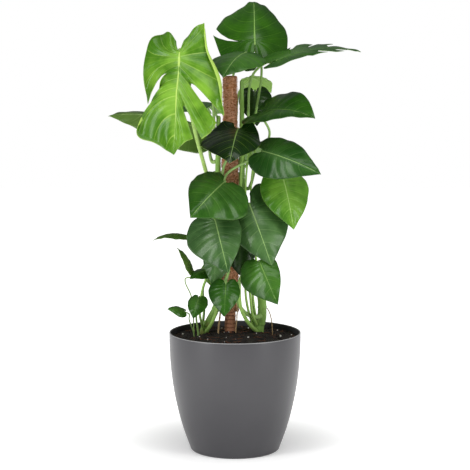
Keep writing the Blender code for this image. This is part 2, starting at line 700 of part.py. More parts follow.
def leaf_frame(leaf, y):
    """Point on the midrib at y, with the ways along it, out of the upper side and to the right."""
    joint, tip = above_rim(leaf["joint"]), above_rim(leaf["tip"])
    chord = tip - joint
    up = Vector(leaf["face"])
    up = (up - chord * up.dot(chord) / chord.length_squared).normalized()
    crest = joint + chord * 0.5 + up * leaf["arch"] * 2 * chord.length
    start = crest - joint
    if y < 0:
        point, along = joint + 2 * start * y, start
    else:
        point = joint * (1 - y) ** 2 + crest * 2 * y * (1 - y) + tip * y ** 2
        along = start * (1 - y) + (tip - crest) * y
    along = along.normalized()
    side = up.cross(chord).normalized()
    return point, along, along.cross(side).normalized(), side


def leaf_length(leaf):
    return (Vector(leaf["tip"]) - Vector(leaf["joint"])).length


def leaf_point(leaf, x, y):
    """A point of the flat outline, carried onto the folded and curved blade."""
    point, along, up, side = leaf_frame(leaf, y)
    half = 0 if x >= 0 else 1
    out = abs(x) * leaf["width"][half]
    droop = math.radians(leaf["fold"][half] + leaf["cup"][half] * out / CUP_REACH)
    hand = 1 if x >= 0 else -1
    back = leaf["lobe_lift"] * min(y, 0) ** 2
    flat = side * hand * out * math.cos(droop) - up * (out * math.sin(droop) + back)
    return point + leaf_length(leaf) * flat


def vein_points(leaf, row, half):
    """Flat points along one side vein: one at the edge of the midrib, then the blade's steps."""
    start = row[0]
    end_x, end_y = row[1 + half]
    rib_width = MIDRIB_WIDTH * (1 - MIDRIB_TAPER * start)
    near = rib_width / leaf_length(leaf) / math.hypot(end_x, end_y - start)
    reach, rise = leaf["vein_bend"][half]
    bend_x, bend_y = end_x * reach, start + (end_y - start) * rise
    points = []
    for u in (near, *VEIN_STEPS[leaf["outline"]]):
        x = 2 * u * (1 - u) * bend_x + u * u * end_x
        y = (1 - u) ** 2 * start + 2 * u * (1 - u) * bend_y + u * u * end_y
        points.append((x if half == 0 else -x, y))
    return points


def add_blade(made, leaf):
    """Both faces of the blade with its edge. It returns the six points that the stalk joins."""
    rows = OUTLINES[leaf["outline"]]
    middle = [leaf_point(leaf, 0, row[0]) for row in rows]
    sides = []
    for half in (0, 1):
        veins = [vein_points(leaf, row, half) for row in rows]
        sides.append([[leaf_point(leaf, x, y) for x, y in vein] for vein in veins])
    points = middle + [above_rim(leaf["tip"])]
    index = {("m", k): k for k in range(len(rows))}
    tip = len(rows)
    for half in (0, 1):
        for k, vein in enumerate(sides[half]):
            index[half, k, 0] = k
            for j, point in enumerate(vein):
                index[half, k, j + 1] = len(points)
                points.append(point)
    faces = []
    steps = len(VEIN_STEPS[leaf["outline"]]) + 1
    for half, name in ((0, "right"), (1, "left")):
        splits = SPLITS[leaf["outline"]][name]
        for k in range(len(rows) - 1):
            for j in range(steps):
                inner = 0 if j < 2 else VEIN_STEPS[leaf["outline"]][j - 2]
                if k in splits and inner >= splits[k] - 1e-6:
                    continue
                near, far = index[half, k, j], index[half, k, j + 1]
                quad = [near, far, index[half, k + 1, j + 1], index[half, k + 1, j]]
                faces.append(quad if half else quad[::-1])
        last = len(rows) - 1
        for j in range(steps):
            corner = [index[half, last, j], index[half, last, j + 1], tip]
            faces.append(corner if half else corner[::-1])
    return close_blade(made, leaf, points, faces, index)


def close_blade(made, leaf, points, faces, index):
    normals = [Vector() for _ in points]
    for face in faces:
        a, b, c = (points[i] for i in face[:3])
        flat = (b - a).cross(c - a)
        if len(face) == 4:
            flat += (c - a).cross(points[face[3]] - a)
        for i in face:
            normals[i] += flat
    facing = leaf_frame(leaf, FACE_SAMPLE)[2]
    turned_over = sum(n.dot(facing) for n in normals) < 0
    normals = [(-n if turned_over else n).normalized() for n in normals]
    rows = OUTLINES[leaf["outline"]]
    rib = [0.0] * len(points)
    for k, row in enumerate(rows):
        height = MIDRIB_HEIGHT * (1 - row[0]) * leaf["stalk"] / STALK_RADIUS
        rib[index["m", k]] = height
        rib[index[0, k, 1]] = rib[index[1, k, 1]] = height * MIDRIB_EDGE_SHARE
    half = LEAF_THICKNESS / 2
    top = [made.verts.new(p + n * half) for p, n in zip(points, normals)]
    bottom = [made.verts.new(p - n * (half + extra)) for p, n, extra in zip(points, normals, rib)]
    edges = {}
    for face in faces:
        made.faces.new([top[i] for i in face])
        made.faces.new([bottom[i] for i in (face[0], *reversed(face[1:]))])
        for a, b in zip(face, face[1:] + face[:1]):
            edges[a, b] = True
    hole = {index["m", 0], index[0, 0, 1], index[1, 0, 1]}
    for a, b in edges:
        if (b, a) not in edges and not {a, b} <= hole:
            made.faces.new((top[a], top[b], bottom[b], bottom[a]))
    left, centre, right = index[1, 0, 1], index["m", 0], index[0, 0, 1]
    return [top[right], top[centre], top[left], bottom[left], bottom[centre], bottom[right]]


def stalk_path(leaf):
    """Points from the joint back to where the stalk leaves its stem or the soil."""
    point, along, up, side = leaf_frame(leaf, 0)
    behind = math.radians(leaf["behind"])
    back = -(along * math.cos(behind) + up * math.sin(behind))
    drop = MIDRIB_HEIGHT * 0.5 + THICK_STALK_DROP * max(0, leaf["stalk"] - STALK_RADIUS)
    corner = point - along * JOINT_BEND * 0.5 - up * drop
    first = corner + back * JOINT_BEND
    route = [above_rim(p) for p in leaf["route"]]
    if len(leaf["from"]) == 2:
        x, y = leaf["from"]
        foot = Vector((x, y, POT_HEIGHT - SOIL_EDGE_DROP - SOCKET_DEPTH))
        top = Vector((x, y, soil_top(x, y) + STALK_ABOVE_SOIL))
        return smooth_path([corner, first, *reversed(route), top], STALK_STEP) + [foot]
    name, height, bearing = leaf["from"]
    centre, radius, grows = stem_at(name, height)
    bearing = math.radians(bearing)
    out = Vector((math.cos(bearing), math.sin(bearing), 0))
    out = (out - grows * out.dot(grows)).normalized()
    base = centre + out * (radius + TOUCH_GAP)
    run_out = base + out * STALK_RUN_OUT
    return smooth_path([corner, first, *reversed(route), run_out], STALK_STEP) + [base]


def add_leaf(name, parent):
    leaf = LEAF_DEFAULTS | LEAVES[name]
    made = bmesh.new()
    joint_ring = add_blade(made, leaf)
    path = stalk_path(leaf)
    side = leaf_frame(leaf, 0)[3]
    radii = [leaf["stalk"]] * len(path)
    radii[0] = leaf["stalk"] * JOINT_NARROWING
    loops = stalk_loops(made, path, radii, side, joint_ring)
    join_loops(made, [joint_ring, *loops])
    made.faces.new(loops[-1])
    return finish(name, made, leaf["colour"], above_rim(leaf["joint"]), parent)


def stalk_loops(made, path, radii, side, joint_ring):
    """Six-sided rings down the stalk, started so that each corner meets its own corner of the joint."""
    loops = sweep_loops(made, path, radii, STALK_SIDES, side, math.pi / STALK_SIDES)
    corners = range(STALK_SIDES)

    def reordered(loop, shift, hand):
        return [loop[(shift + hand * i) % STALK_SIDES] for i in corners]

    def strain(pick):
        pairs = zip(reordered(loops[0], *pick), joint_ring)
        return sum((vertex.co - corner.co).length for vertex, corner in pairs)

    shift, hand = min(((shift, hand) for shift in corners for hand in (1, -1)), key=strain)
    return [reordered(loop, shift, hand) for loop in loops]


def main():
    clear_scene()
    plant = bpy.data.objects.new("monstera_plant", None)
    bpy.context.collection.objects.link(plant)
    add_pot(plant)
    add_soil(plant)
    add_pole(plant)
    for name in STEMS:
        add_stem(name, plant)
    for name in ROOTS:
        add_root(name, plant)
    for name in LEAVES:
        add_leaf(name, plant)


main()
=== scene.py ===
"""Finishes a potted monstera: pot, soil, coir pole, stems, aerial roots and leaves.

Metres, +Z up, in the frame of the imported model. The plant's front faces -Y.
"""

import math
import random

import bmesh
import bpy
import numpy as np
from bpy.props import FloatProperty, FloatVectorProperty, IntProperty, PointerProperty
from mathutils import Matrix, Vector, noise
from mathutils.geometry import interpolate_bezier


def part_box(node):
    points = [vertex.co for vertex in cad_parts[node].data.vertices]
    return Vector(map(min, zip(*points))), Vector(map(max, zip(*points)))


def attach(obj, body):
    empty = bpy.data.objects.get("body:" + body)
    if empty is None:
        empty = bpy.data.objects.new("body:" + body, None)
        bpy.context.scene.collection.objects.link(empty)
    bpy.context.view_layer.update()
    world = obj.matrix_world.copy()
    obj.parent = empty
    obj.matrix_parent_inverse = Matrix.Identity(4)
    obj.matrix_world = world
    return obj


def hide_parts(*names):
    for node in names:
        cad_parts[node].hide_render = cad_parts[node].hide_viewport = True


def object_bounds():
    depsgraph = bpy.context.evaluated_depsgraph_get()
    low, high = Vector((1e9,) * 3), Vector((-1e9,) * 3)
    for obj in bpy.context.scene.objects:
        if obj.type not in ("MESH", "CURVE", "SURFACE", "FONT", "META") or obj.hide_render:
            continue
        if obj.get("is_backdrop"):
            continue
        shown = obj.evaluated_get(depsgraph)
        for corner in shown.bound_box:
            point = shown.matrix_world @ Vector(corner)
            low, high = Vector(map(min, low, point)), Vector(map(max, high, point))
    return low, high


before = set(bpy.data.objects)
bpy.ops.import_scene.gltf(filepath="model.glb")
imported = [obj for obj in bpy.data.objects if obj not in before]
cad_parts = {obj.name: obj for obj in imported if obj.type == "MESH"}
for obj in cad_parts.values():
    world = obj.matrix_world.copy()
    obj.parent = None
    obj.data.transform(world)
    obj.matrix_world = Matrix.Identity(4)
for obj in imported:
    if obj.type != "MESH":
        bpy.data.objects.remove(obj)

bl_info = {
    "name": "Potted monstera",
    "version": (1, 0, 0),
    "blender": (4, 5, 0),
    "location": "View3D > Sidebar > Monstera",
    "description": "Builds a monstera on a coir pole in a tapered pot",
    "category": "Add Mesh",
}

CAD_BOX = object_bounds()
MERGE = 1e-6            # points nearer to each other than this become one
SOCKET_DEPTH = 0.030    # from the soil down to the foot of a stem or a root
SOIL_GAP = 0.0003       # between the soil and the pot's wall
SOIL_CALM = 0.012       # the lumps of the soil fade out this near to the wall
LUMP_SCALE = 46         # lumps per metre
LUMP_HEIGHT = 0.0030
FOOT_HOLLOW = 0.0012    # height of the pot's underside inside its foot
NECK_START = 0.20       # from the top of the coir down to where it starts to narrow
NECK_LENGTH = 0.10
NECK_INSET = 0.003      # how much the coir is thinner above its neck
ANY_ANGLE = 6.3         # random turns go up to here, just past a full one
STRAND_CURVE = 0.018    # radius that the pattern of a loose coir fibre is bent to
STEM_STEP = 0.0016      # between the rings of faces along a stem
STALK_STEP = 0.003      # the same along a stalk or a root
THIN_STALK = 0.0028     # a thicker stalk lies deeper under its blade
JOINT_DROP = 0.0014     # depth of a thin stalk's middle under its blade
GROOVE_WIDTH = 0.0028   # half width of the groove over a midrib
CUP_REACH = 0.45        # half width, in blade lengths, where the cup angle is reached
ROLL_ANGLE = 3.4        # radians that a rolled margin turns through
FULL_RELIEF = 0.13      # a blade shorter than this has lower relief
UV_ROWS = 16            # side veins per unit of the UV map's height
FLOOR_SIZE = 14

# Stems. Heights are above the pot's rim. foot is (x, y, radius) in the soil, free holds points
# (x, y, height, radius) on the way to the pole, and climbing holds points beside it as
# (bearing round the pole in degrees from +X, gap to the sleeve, height, radius)
STEMS = {
    "stem_left": {
        "foot": (-0.07, 0.026, 0.0105),
        "free": [(-0.07, 0.026, -0.002, 0.0105), (-0.058, 0.018, 0.022, 0.01)],
        "climbing": [
            (195, 0.0025, 0.062, 0.009),
            (200, 0.0027, 0.128, 0.0075),
            (192, 0.0026, 0.248, 0.007),
            (188, 0.0018, 0.368, 0.0065),
            (184, 0.0016, 0.488, 0.005),
        ],
    },
    "stem_right": {
        "foot": (0.056, 0.04, 0.0115),
        "free": [
            (0.056, 0.04, 0.001, 0.0115),
            (0.062, 0.036, 0.028, 0.011),
            (0.06, 0.028, 0.078, 0.01),
            (0.038, 0.01, 0.148, 0.008),
        ],
        "climbing": [
            (350, 0.0063, 0.228, 0.0072),
            (348, 0.0018, 0.328, 0.0068),
            (356, 0.0012, 0.428, 0.0064),
            (0, 0.002, 0.568, 0.0045),
        ],
    },
    "stem_back": {
        "foot": (-0.012, 0.056, 0.01),
        "free": [(-0.012, 0.056, 0.006, 0.01)],
        "climbing": [
            (92, 0.006, 0.068, 0.0085),
            (92, 0.0015, 0.188, 0.0075),
            (92, 0.0015, 0.368, 0.007),
            (92, 0.0025, 0.568, 0.005),
        ],
    },
}

# Aerial roots: the radius, and points (x, y, height above the rim) down to the soil
ROOTS = {
    "root_front": (0.0013, [
        (0.002, -0.0072, 0.073), (0.005, -0.016, 0.062), (0.004, -0.018, 0.028), (0.002, -0.017, 0.008),
    ]),
    "root_right": (0.0012, [
        (0.0735, 0.0285, 0.05), (0.08, 0.026, 0.038), (0.084, 0.024, 0.02), (0.086, 0.024, -0.004),
    ]),
    "root_dark": (0.0022, [
        (-0.0345, -0.0068, 0.073), (-0.033, -0.012, 0.053), (-0.036, -0.01, 0.023),
        (-0.038, -0.008, 0.003),
    ]),
}

# Stalks that carry none of the blades, by the stem that each grew with: the radius, then points
# (x, y, height above the rim)
BARE_STALKS = {
    "stem_right": [
        (0.0028, [(0.03, 0.002, 0.18), (0.018, -0.028, 0.27), (0.013, -0.034, 0.34),
                  (0.022, -0.012, 0.43)]),
        (0.0026, [(0.038, 0.008, 0.16), (0.027, -0.026, 0.26), (0.024, -0.03, 0.34),
                  (0.034, -0.006, 0.44)]),
        (0.0026, [(0.052, 0.02, 0.13), (0.04, -0.014, 0.24), (0.036, -0.02, 0.33), (0.046, -0.002, 0.42)]),
        (0.0044, [(0.05, 0.03, -0.006), (0.04, -0.004, 0.01), (0.024, -0.022, 0.034),
                  (0.012, -0.032, 0.066), (0.01, -0.03, 0.12)]),
        (0.0034, [(0.05, 0.03, 0.01), (0.04, -0.004, 0.04), (0.034, -0.012, 0.09), (0.028, -0.014, 0.14)]),
        (0.003, [(0.048, 0.04, -0.006), (0.032, 0.02, 0.04), (0.024, 0.012, 0.09), (0.026, 0.01, 0.15)]),
        (0.003, [(0.054, 0.044, -0.006), (0.044, 0.03, 0.05), (0.04, 0.024, 0.1), (0.044, 0.02, 0.16)]),
        (0.0026, [(0.06, 0.046, -0.006), (0.066, 0.04, 0.06), (0.06, 0.034, 0.11), (0.054, 0.03, 0.16)]),
        (0.0028, [(0.058, 0.028, 0.1), (0.046, 0.0, 0.18), (0.04, -0.01, 0.24), (0.044, -0.012, 0.3)]),
    ],
    "stem_left": [
        (0.004, [(-0.068, 0.02, -0.006), (-0.056, -0.008, 0.016), (-0.044, -0.02, 0.046),
                 (-0.04, -0.018, 0.1)]),
        (0.0028, [(-0.07, 0.022, -0.006), (-0.08, -0.004, 0.04), (-0.076, -0.014, 0.09),
                  (-0.064, -0.01, 0.13)]),
    ],
}


def alike(*rows):
    """Rows of an outline whose two halves are alike, each given as (midrib, x, y)."""
    return [(start, (x, y), (x, y)) for start, x, y in rows]


# Leaf outlines for a blade one unit long, joint at (0, 0) and tip at (0, 1). Each row is one side vein:
# where it leaves the midrib, then its end on the margin at the right and at the left
HEART = alike(
    (0.00, 0.07, -0.14), (0.01, 0.21, -0.20), (0.03, 0.35, -0.13), (0.07, 0.44, 0.03),
    (0.15, 0.46, 0.21), (0.27, 0.41, 0.42), (0.43, 0.31, 0.62), (0.63, 0.18, 0.79), (0.83, 0.07, 0.92),
)
DEEP_HEART = [
    (0.00, (0.05, -0.20), (0.05, -0.20)),
    (0.01, (0.18, -0.34), (0.18, -0.34)),
    (0.03, (0.35, -0.32), (0.35, -0.30)),
    (0.07, (0.45, -0.10), (0.45, -0.10)),
    *HEART[4:],
]
FENESTRATED = alike(
    (0.00, 0.08, -0.15), (0.01, 0.24, -0.22), (0.03, 0.40, -0.14), (0.07, 0.49, 0.05),
    (0.13, 0.51, 0.26), (0.19, 0.50, 0.33), (0.29, 0.45, 0.52), (0.38, 0.43, 0.58), (0.50, 0.33, 0.74),
    (0.58, 0.29, 0.77), (0.78, 0.11, 0.92),
)
CROWN = [
    (0.00, (0.03, -0.11), (0.04, -0.10)),
    (0.01, (0.10, -0.21), (0.11, -0.20)),
    (0.03, (0.23, -0.28), (0.22, -0.21)),
    (0.06, (0.32, -0.04), (0.33, -0.06)),
    (0.10, (0.48, 0.33), (0.34, 0.33)),
    (0.15, (0.44, 0.62), (0.28, 0.52)),
    (0.21, (0.38, 0.68), (0.15, 0.30)),
    (0.28, (0.32, 0.79), (0.215, 0.43)),
    (0.37, (0.25, 0.84), (0.31, 0.64)),
    (0.45, (0.17, 0.84), (0.37, 0.83)),
    (0.62, (0.09, 0.89), (0.21, 0.89)),
    (0.82, (0.03, 0.95), (0.07, 0.96)),
]
TOP = [
    (0.00, (0.01, -0.16), (0.01, -0.16)),
    (0.01, (0.13, -0.29), (0.13, -0.29)),
    (0.02, (0.40, -0.25), (0.40, -0.24)),
    (0.03, (0.53, -0.02), (0.49, 0.02)),
    (0.04, (0.64, 0.44), (0.50, 0.24)),
    (0.06, (0.59, 0.58), (0.47, 0.40)),
    (0.20, (0.49, 0.70), (0.36, 0.62)),
    (0.40, (0.35, 0.80), (0.24, 0.80)),
    (0.62, (0.17, 0.88), (0.13, 0.93)),
    (0.85, (0.06, 0.98), (0.05, 0.99)),
]

# Splits in a blade: (the vein that the gap follows, how far out from the midrib it starts)
SPLITS = {
    "heart": {"right": {}, "left": {}},
    "deep_heart": {"right": {}, "left": {}},
    "fenestrated": {"right": {4: 0.6, 6: 0.6, 8: 0.6}, "left": {4: 0.6, 6: 0.6, 8: 0.6}},
    "crown": {"right": {5: 0.3, 8: 0.3}, "left": {5: 0.4}},
    "top": {"right": {4: 0.3}, "left": {}},
}
OUTLINES = {
    "heart": HEART, "deep_heart": DEEP_HEART, "fenestrated": FENESTRATED, "crown": CROWN, "top": TOP,
}

# What a leaf has where its entry doesn't say. wave and puff multiply the height of the margin's waves
# and of the puffed rows. rolled is (first row, last row, share of the way out where the roll starts)
LEAF_DEFAULTS = {
    "outline": "heart",
    "slot": "leaf_green",
    "look": "mid_green",
    "width": (1.0, 1.0),
    "vein_bend": ((0.6, 0.25), (0.6, 0.25)),
    "arch": 0.08,
    "fold": (12, 12),
    "cup": (10, 10),
    "lobe_lift": 0.0,
    "behind": 60,
    "stalk": 0.0028,
    "wave": 1.0,
    "puff": 1.0,
    "rolled": None,
}


def grow(joint, tip, face, start, route, **own):
    """One leaf's entry, filled up from LEAF_DEFAULTS."""
    return LEAF_DEFAULTS | {"joint": joint, "tip": tip, "face": face, "from": start, "route": route} | own


# Each leaf: joint and tip of the blade as (x, y, height above the pot's rim), the way its upper side
# faces, where its stalk comes from, as (stem, height, bearing round the stem) or as its (x, y) in the
# soil, and the points on the stalk's way. Pairs are (right half, left half), angles are in degrees
LEAVES = {
    "leaf_crown_young": grow(
        (-0.119, -0.125, 0.636), (-0.13, -0.195, 0.416), (0.0, -0.92, 0.38), ("stem_left", 0.288, 250),
        [(-0.055, -0.022, 0.328), (-0.067, -0.045, 0.378), (-0.088, -0.062, 0.458),
         (-0.106, -0.066, 0.548), (-0.118, -0.072, 0.608)], outline="crown", slot="leaf_young",
        look="young_pale", wave=5.2, puff=4.2, rolled=(1.8, 4.9, 0.76), fold=(0, 12), cup=(5, 10),
        arch=0.05, vein_bend=((0.5, 0.5), (0.8, 0.1)), behind=95, stalk=0.0042),
    "leaf_far_left": grow(
        (-0.086, 0.03, 0.463), (-0.287, 0.02, 0.491), (0.0, -0.4, 0.92), ("stem_left", 0.388, 150),
        [(-0.062, 0.022, 0.428)], slot="leaf_olive", look="olive", width=(0.9, 0.9)),
    "leaf_top": grow(
        (0.045, 0.055, 0.657), (0.044, 0.19, 0.753), (0.0, -0.6, 0.8), ("stem_right", 0.388, 0),
        [(0.036, 0.018, 0.438), (0.048, 0.032, 0.504), (0.06, 0.03, 0.596)], outline="top",
        look="top_green", vein_bend=((0.7, -0.1), (0.6, 0.25))),
    "leaf_top_right": grow(
        (0.098, -0.025, 0.618), (0.284, 0.02, 0.635), (0.0, -0.15, 0.99), ("stem_right", 0.448, 20),
        [(0.03, 0.01, 0.498), (0.038, 0.022, 0.578), (0.07, 0.012, 0.61)], outline="fenestrated",
        width=(0.8, 0.5), fold=(0, 0), cup=(0, 5)),
    "leaf_crown_front": grow(
        (0.022, -0.025, 0.633), (-0.026, -0.125, 0.579), (-0.1, -0.35, 0.93), ("stem_left", 0.428, 200),
        [(-0.047, 0.004, 0.458), (-0.048, 0.0, 0.538), (-0.03, 0.02, 0.608)], width=(1.0, 1.2),
        fold=(12, 0)),
    "leaf_pole_back": grow(
        (0.038, 0.095, 0.578), (0.085, 0.15, 0.54), (0.0, 0.5, 0.85), ("stem_back", 0.428, 45),
        [(0.002, 0.066, 0.478), (0.01, 0.088, 0.543)], slot="leaf_young", look="young"),
    "leaf_mid_back": grow(
        (0.046, 0.064, 0.543), (0.05, 0.05, 0.466), (0.0, -1.0, 0.1), ("stem_back", 0.368, 30),
        [(0.022, 0.072, 0.428), (0.042, 0.085, 0.508)], slot="leaf_dark", look="dark", width=(1.15, 1.15),
        behind=90),
    "leaf_mid_right": grow(
        (0.062, -0.012, 0.501), (0.174, -0.115, 0.491), (0.0, -0.3, 0.95), ("stem_right", 0.328, -20),
        [(0.05, 0.01, 0.388), (0.078, 0.016, 0.448)], slot="leaf_dark", look="deep_green", fold=(-30, 0),
        behind=90),
    "leaf_center_dark": grow(
        (0.007, -0.05, 0.465), (-0.012, -0.165, 0.396), (0.0, -0.75, 0.65), ("stem_left", 0.348, -60),
        [(-0.024, -0.028, 0.383), (0.0, -0.042, 0.428)], slot="leaf_dark", look="blue_dark",
        width=(0.95, 1.4), lobe_lift=-3.2, behind=90),
    "leaf_right": grow(
        (0.062, -0.06, 0.416), (0.187, -0.13, 0.37), (-0.15, -0.85, 0.5), ("stem_left", 0.318, -45),
        [(-0.02, -0.024, 0.36), (0.024, -0.034, 0.39)], look="satin_dark", width=(0.8, 0.8), behind=90),
    "leaf_right_young": grow(
        (0.107, -0.04, 0.357), (0.13, -0.09, 0.244), (0.1, -0.95, 0.25), ("stem_right", 0.248, -10),
        [(0.05, -0.005, 0.288), (0.088, -0.012, 0.34)], slot="leaf_young", look="young", behind=80),
    "leaf_heart_left": grow(
        (-0.024, -0.08, 0.349), (-0.097, -0.15, 0.277), (0.1, -0.85, 0.5), ("stem_left", 0.258, -70),
        [(-0.032, -0.03, 0.298), (-0.024, -0.05, 0.34)], width=(1.5, 1.15), fold=(2, 12), behind=80),
    "leaf_heart_lower_left": grow(
        (-0.044, -0.085, 0.266), (-0.015, -0.135, 0.154), (0.0, -0.97, 0.2), ("stem_left", 0.218, -100),
        [(-0.043, -0.04, 0.242)], look="grey_green", width=(0.95, 1.4), behind=80),
    "leaf_heart_right": grow(
        (0.033, -0.05, 0.295), (0.081, -0.1, 0.165), (0.0, -0.95, 0.3), ("stem_right", 0.233, -60),
        [(0.031, -0.018, 0.263)], outline="deep_heart", look="grey_green", width=(1.25, 1.0), behind=80),
    "leaf_side_left": grow(
        (-0.114, 0.03, 0.219), (-0.188, 0.03, 0.206), (0.0, -0.12, 1.0), ("stem_left", 0.148, 160),
        [(-0.075, 0.02, 0.18)], slot="leaf_olive", look="olive", width=(0.7, 0.7), arch=0.12),
    "leaf_low_center": grow(
        (-0.041, -0.045, 0.192), (-0.049, -0.07, 0.114), (0.0, -0.95, 0.2), ("stem_left", 0.118, -100),
        [(-0.042, -0.018, 0.158)], look="grey_green", width=(1.0, 0.8), behind=80),
    "leaf_low_back": grow(
        (0.011, -0.028, 0.213), (0.011, -0.04, 0.135), (0.0, -1.0, 0.1), ("stem_right", 0.148, -120),
        [(0.026, -0.014, 0.178)], slot="leaf_dark", look="dark", width=(1.2, 1.2)),
    "leaf_low_right": grow(
        (0.055, -0.09, 0.172), (0.094, -0.13, 0.083), (-0.1, -0.95, 0.25), ("stem_right", 0.033, 235),
        [(0.022, -0.008, 0.046), (0.005, -0.03, 0.08), (0.012, -0.05, 0.128), (0.035, -0.072, 0.164)],
        width=(0.75, 1.3), behind=70, stalk=0.004),
    "leaf_front_small": grow(
        (-0.02, -0.1, 0.125), (-0.024, -0.13, 0.056), (0.0, -0.92, 0.35), ("stem_left", 0.088, -30),
        [(-0.024, -0.032, 0.116), (-0.013, -0.068, 0.152)], look="deep_green", width=(1.0, 1.2),
        behind=30),
    "leaf_small_left": grow(
        (-0.081, -0.06, 0.087), (-0.093, -0.09, 0.045), (-0.1, -0.9, 0.4), (-0.084, 0.004),
        [(-0.088, -0.014, 0.038)], behind=90, stalk=0.0022),
    "leaf_tiny_left": grow(
        (-0.115, -0.05, 0.056), (-0.152, -0.06, 0.062), (0.0, -0.6, 0.8), (-0.094, 0.008),
        [(-0.104, -0.018, 0.03)], behind=10, stalk=0.0014),
    "leaf_upright_small": grow(
        (-0.096, -0.022, 0.146), (-0.131, -0.024, 0.196), (0.0, -0.25, 0.95), (-0.094, 0.026),
        [(-0.096, 0.012, 0.038), (-0.1, -0.004, 0.083), (-0.113, -0.016, 0.123)], slot="leaf_olive",
        look="olive", width=(0.65, 0.65), behind=15, stalk=0.0014),
    "leaf_small_inner": grow(
        (-0.064, -0.03, 0.146), (-0.101, -0.06, 0.13), (0.0, -0.5, 0.85), (-0.076, 0.05),
        [(-0.071, 0.036, 0.048), (-0.073, 0.01, 0.098)], look="deep_green", stalk=0.003),
    "leaf_back_left": grow(
        (-0.055, 0.11, 0.518), (-0.135, 0.22, 0.493), (-0.1, 0.25, 0.95), ("stem_back", 0.408, 120),
        [(-0.03, 0.07, 0.458)], outline="fenestrated"),
    "leaf_back_right": grow(
        (0.08, 0.11, 0.418), (0.15, 0.23, 0.348), (0.2, 0.5, 0.8), ("stem_back", 0.308, 50),
        [(0.02, 0.075, 0.368)], outline="fenestrated"),
    "leaf_back_middle": grow(
        (-0.03, 0.11, 0.358), (-0.035, 0.215, 0.278), (-0.1, 0.7, 0.7), ("stem_back", 0.278, 100),
        [(-0.022, 0.08, 0.338)]),
    "leaf_back_low_right": grow(
        (0.045, 0.1, 0.268), (0.075, 0.19, 0.158), (0.2, 0.8, 0.6), ("stem_back", 0.178, 50),
        [(0.012, 0.075, 0.228)]),
    "leaf_back_low_left": grow(
        (-0.03, 0.1, 0.248), (-0.05, 0.18, 0.158), (-0.2, 0.8, 0.6), ("stem_back", 0.138, 130),
        [(-0.036, 0.07, 0.188)]),
    "leaf_back_bottom": grow(
        (-0.035, 0.09, 0.148), (-0.045, 0.15, 0.068), (0.0, 0.85, 0.5), ("stem_back", 0.068, 80),
        [(-0.006, 0.072, 0.098)]),
    "leaf_back_top": grow(
        (0.0, 0.1, 0.613), (0.0, 0.235, 0.633), (0.0, 0.1, 1.0), ("stem_back", 0.468, 100),
        [(-0.014, 0.072, 0.538)], outline="fenestrated", width=(0.8, 0.8)),
}


def srgb(red, green, blue):
    """A display colour, 0 to 255 each, as the linear colour that a shader takes."""
    parts = (red, green, blue)
    return tuple(((c / 255 + 0.055) / 1.055) ** 2.4 if c > 10 else c / 3295 for c in parts) + (1.0,)


# Leaf finishes: upper side, its deeper parts, veins, underside, roughness
LEAF_LOOKS = {
    "young_pale": (srgb(122, 168, 52), srgb(58, 106, 14), srgb(186, 214, 104), srgb(164, 192, 96), 0.26),
    "young": (srgb(104, 150, 50), srgb(56, 104, 22), srgb(150, 188, 92), srgb(150, 188, 96), 0.38),
    "top_green": (srgb(44, 90, 6), srgb(26, 66, 2), srgb(92, 138, 40), srgb(96, 136, 50), 0.42),
    "deep_green": (srgb(42, 86, 18), srgb(20, 58, 8), srgb(92, 132, 52), srgb(90, 128, 58), 0.28),
    "mid_green": (srgb(62, 106, 34), srgb(32, 72, 16), srgb(104, 140, 64), srgb(102, 136, 66), 0.32),
    "grey_green": (srgb(78, 112, 62), srgb(42, 74, 34), srgb(112, 142, 84), srgb(108, 138, 82), 0.34),
    "satin_dark": (srgb(56, 96, 38), srgb(28, 66, 20), srgb(96, 130, 66), srgb(92, 126, 66), 0.26),
    # dark and blue_dark are darker copies of the green finish, with painted shade for leaves that sit in
    # shadow.
    "dark": (srgb(34, 60, 20), srgb(18, 40, 10), srgb(62, 92, 40), srgb(74, 104, 50), 0.34),
    "blue_dark": (srgb(14, 42, 10), srgb(6, 28, 6), srgb(128, 160, 58), srgb(62, 92, 46), 0.28),
    "olive": (srgb(88, 116, 50), srgb(60, 90, 32), srgb(124, 148, 78), srgb(120, 144, 76), 0.42),
}


# ---- Sizes and colours that a user may change ----


class PotSettings(bpy.types.PropertyGroup):
    height: FloatProperty(name="Height", description="Height of the pot", unit="LENGTH",
                          default=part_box("pot")[1].z)
    rim_radius: FloatProperty(name="Rim radius", description="Radius outside the rim", unit="LENGTH",
                              default=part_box("pot")[1].x)
    base_radius: FloatProperty(name="Base radius", description="Radius of the taper at the foot",
                               unit="LENGTH", default=0.1005)
    wall: FloatProperty(name="Wall", description="Thickness of the wall", unit="LENGTH", default=0.0032)
    floor: FloatProperty(name="Floor", description="Thickness of the floor", unit="LENGTH", default=0.004)
    taper: FloatProperty(name="Taper power", description="How late the wall turns in to the foot",
                         default=2.25)
    foot_round: FloatProperty(name="Foot round", description="Radius at the foot", unit="LENGTH",
                              default=0.006)
    steps: IntProperty(name="Steps", description="Steps round the pot", default=160)
    colour: FloatVectorProperty(name="Colour", description="Moulded plastic", subtype="COLOR", size=4,
                                default=srgb(53, 52, 56))


class SoilSettings(bpy.types.PropertyGroup):
    edge_drop: FloatProperty(name="Edge drop", description="From the rim down to the soil", unit="LENGTH",
                             default=0.013)
    mound: FloatProperty(name="Mound", description="Height of the mound round the stems", unit="LENGTH",
                         default=0.012)
    mound_radius: FloatProperty(name="Mound radius", description="Reach of the mound", unit="LENGTH",
                                default=0.120)
    crumbs: IntProperty(name="Crumbs", description="Loose crumbs on the soil", default=900)
    grains: IntProperty(name="White grains", description="Grains of perlite", default=34)
    fibres: IntProperty(name="Fibres", description="Loose bark fibres on the soil", default=90)
    colour: FloatVectorProperty(name="Colour", description="Damp soil", subtype="COLOR", size=4,
                                default=srgb(34, 22, 16))


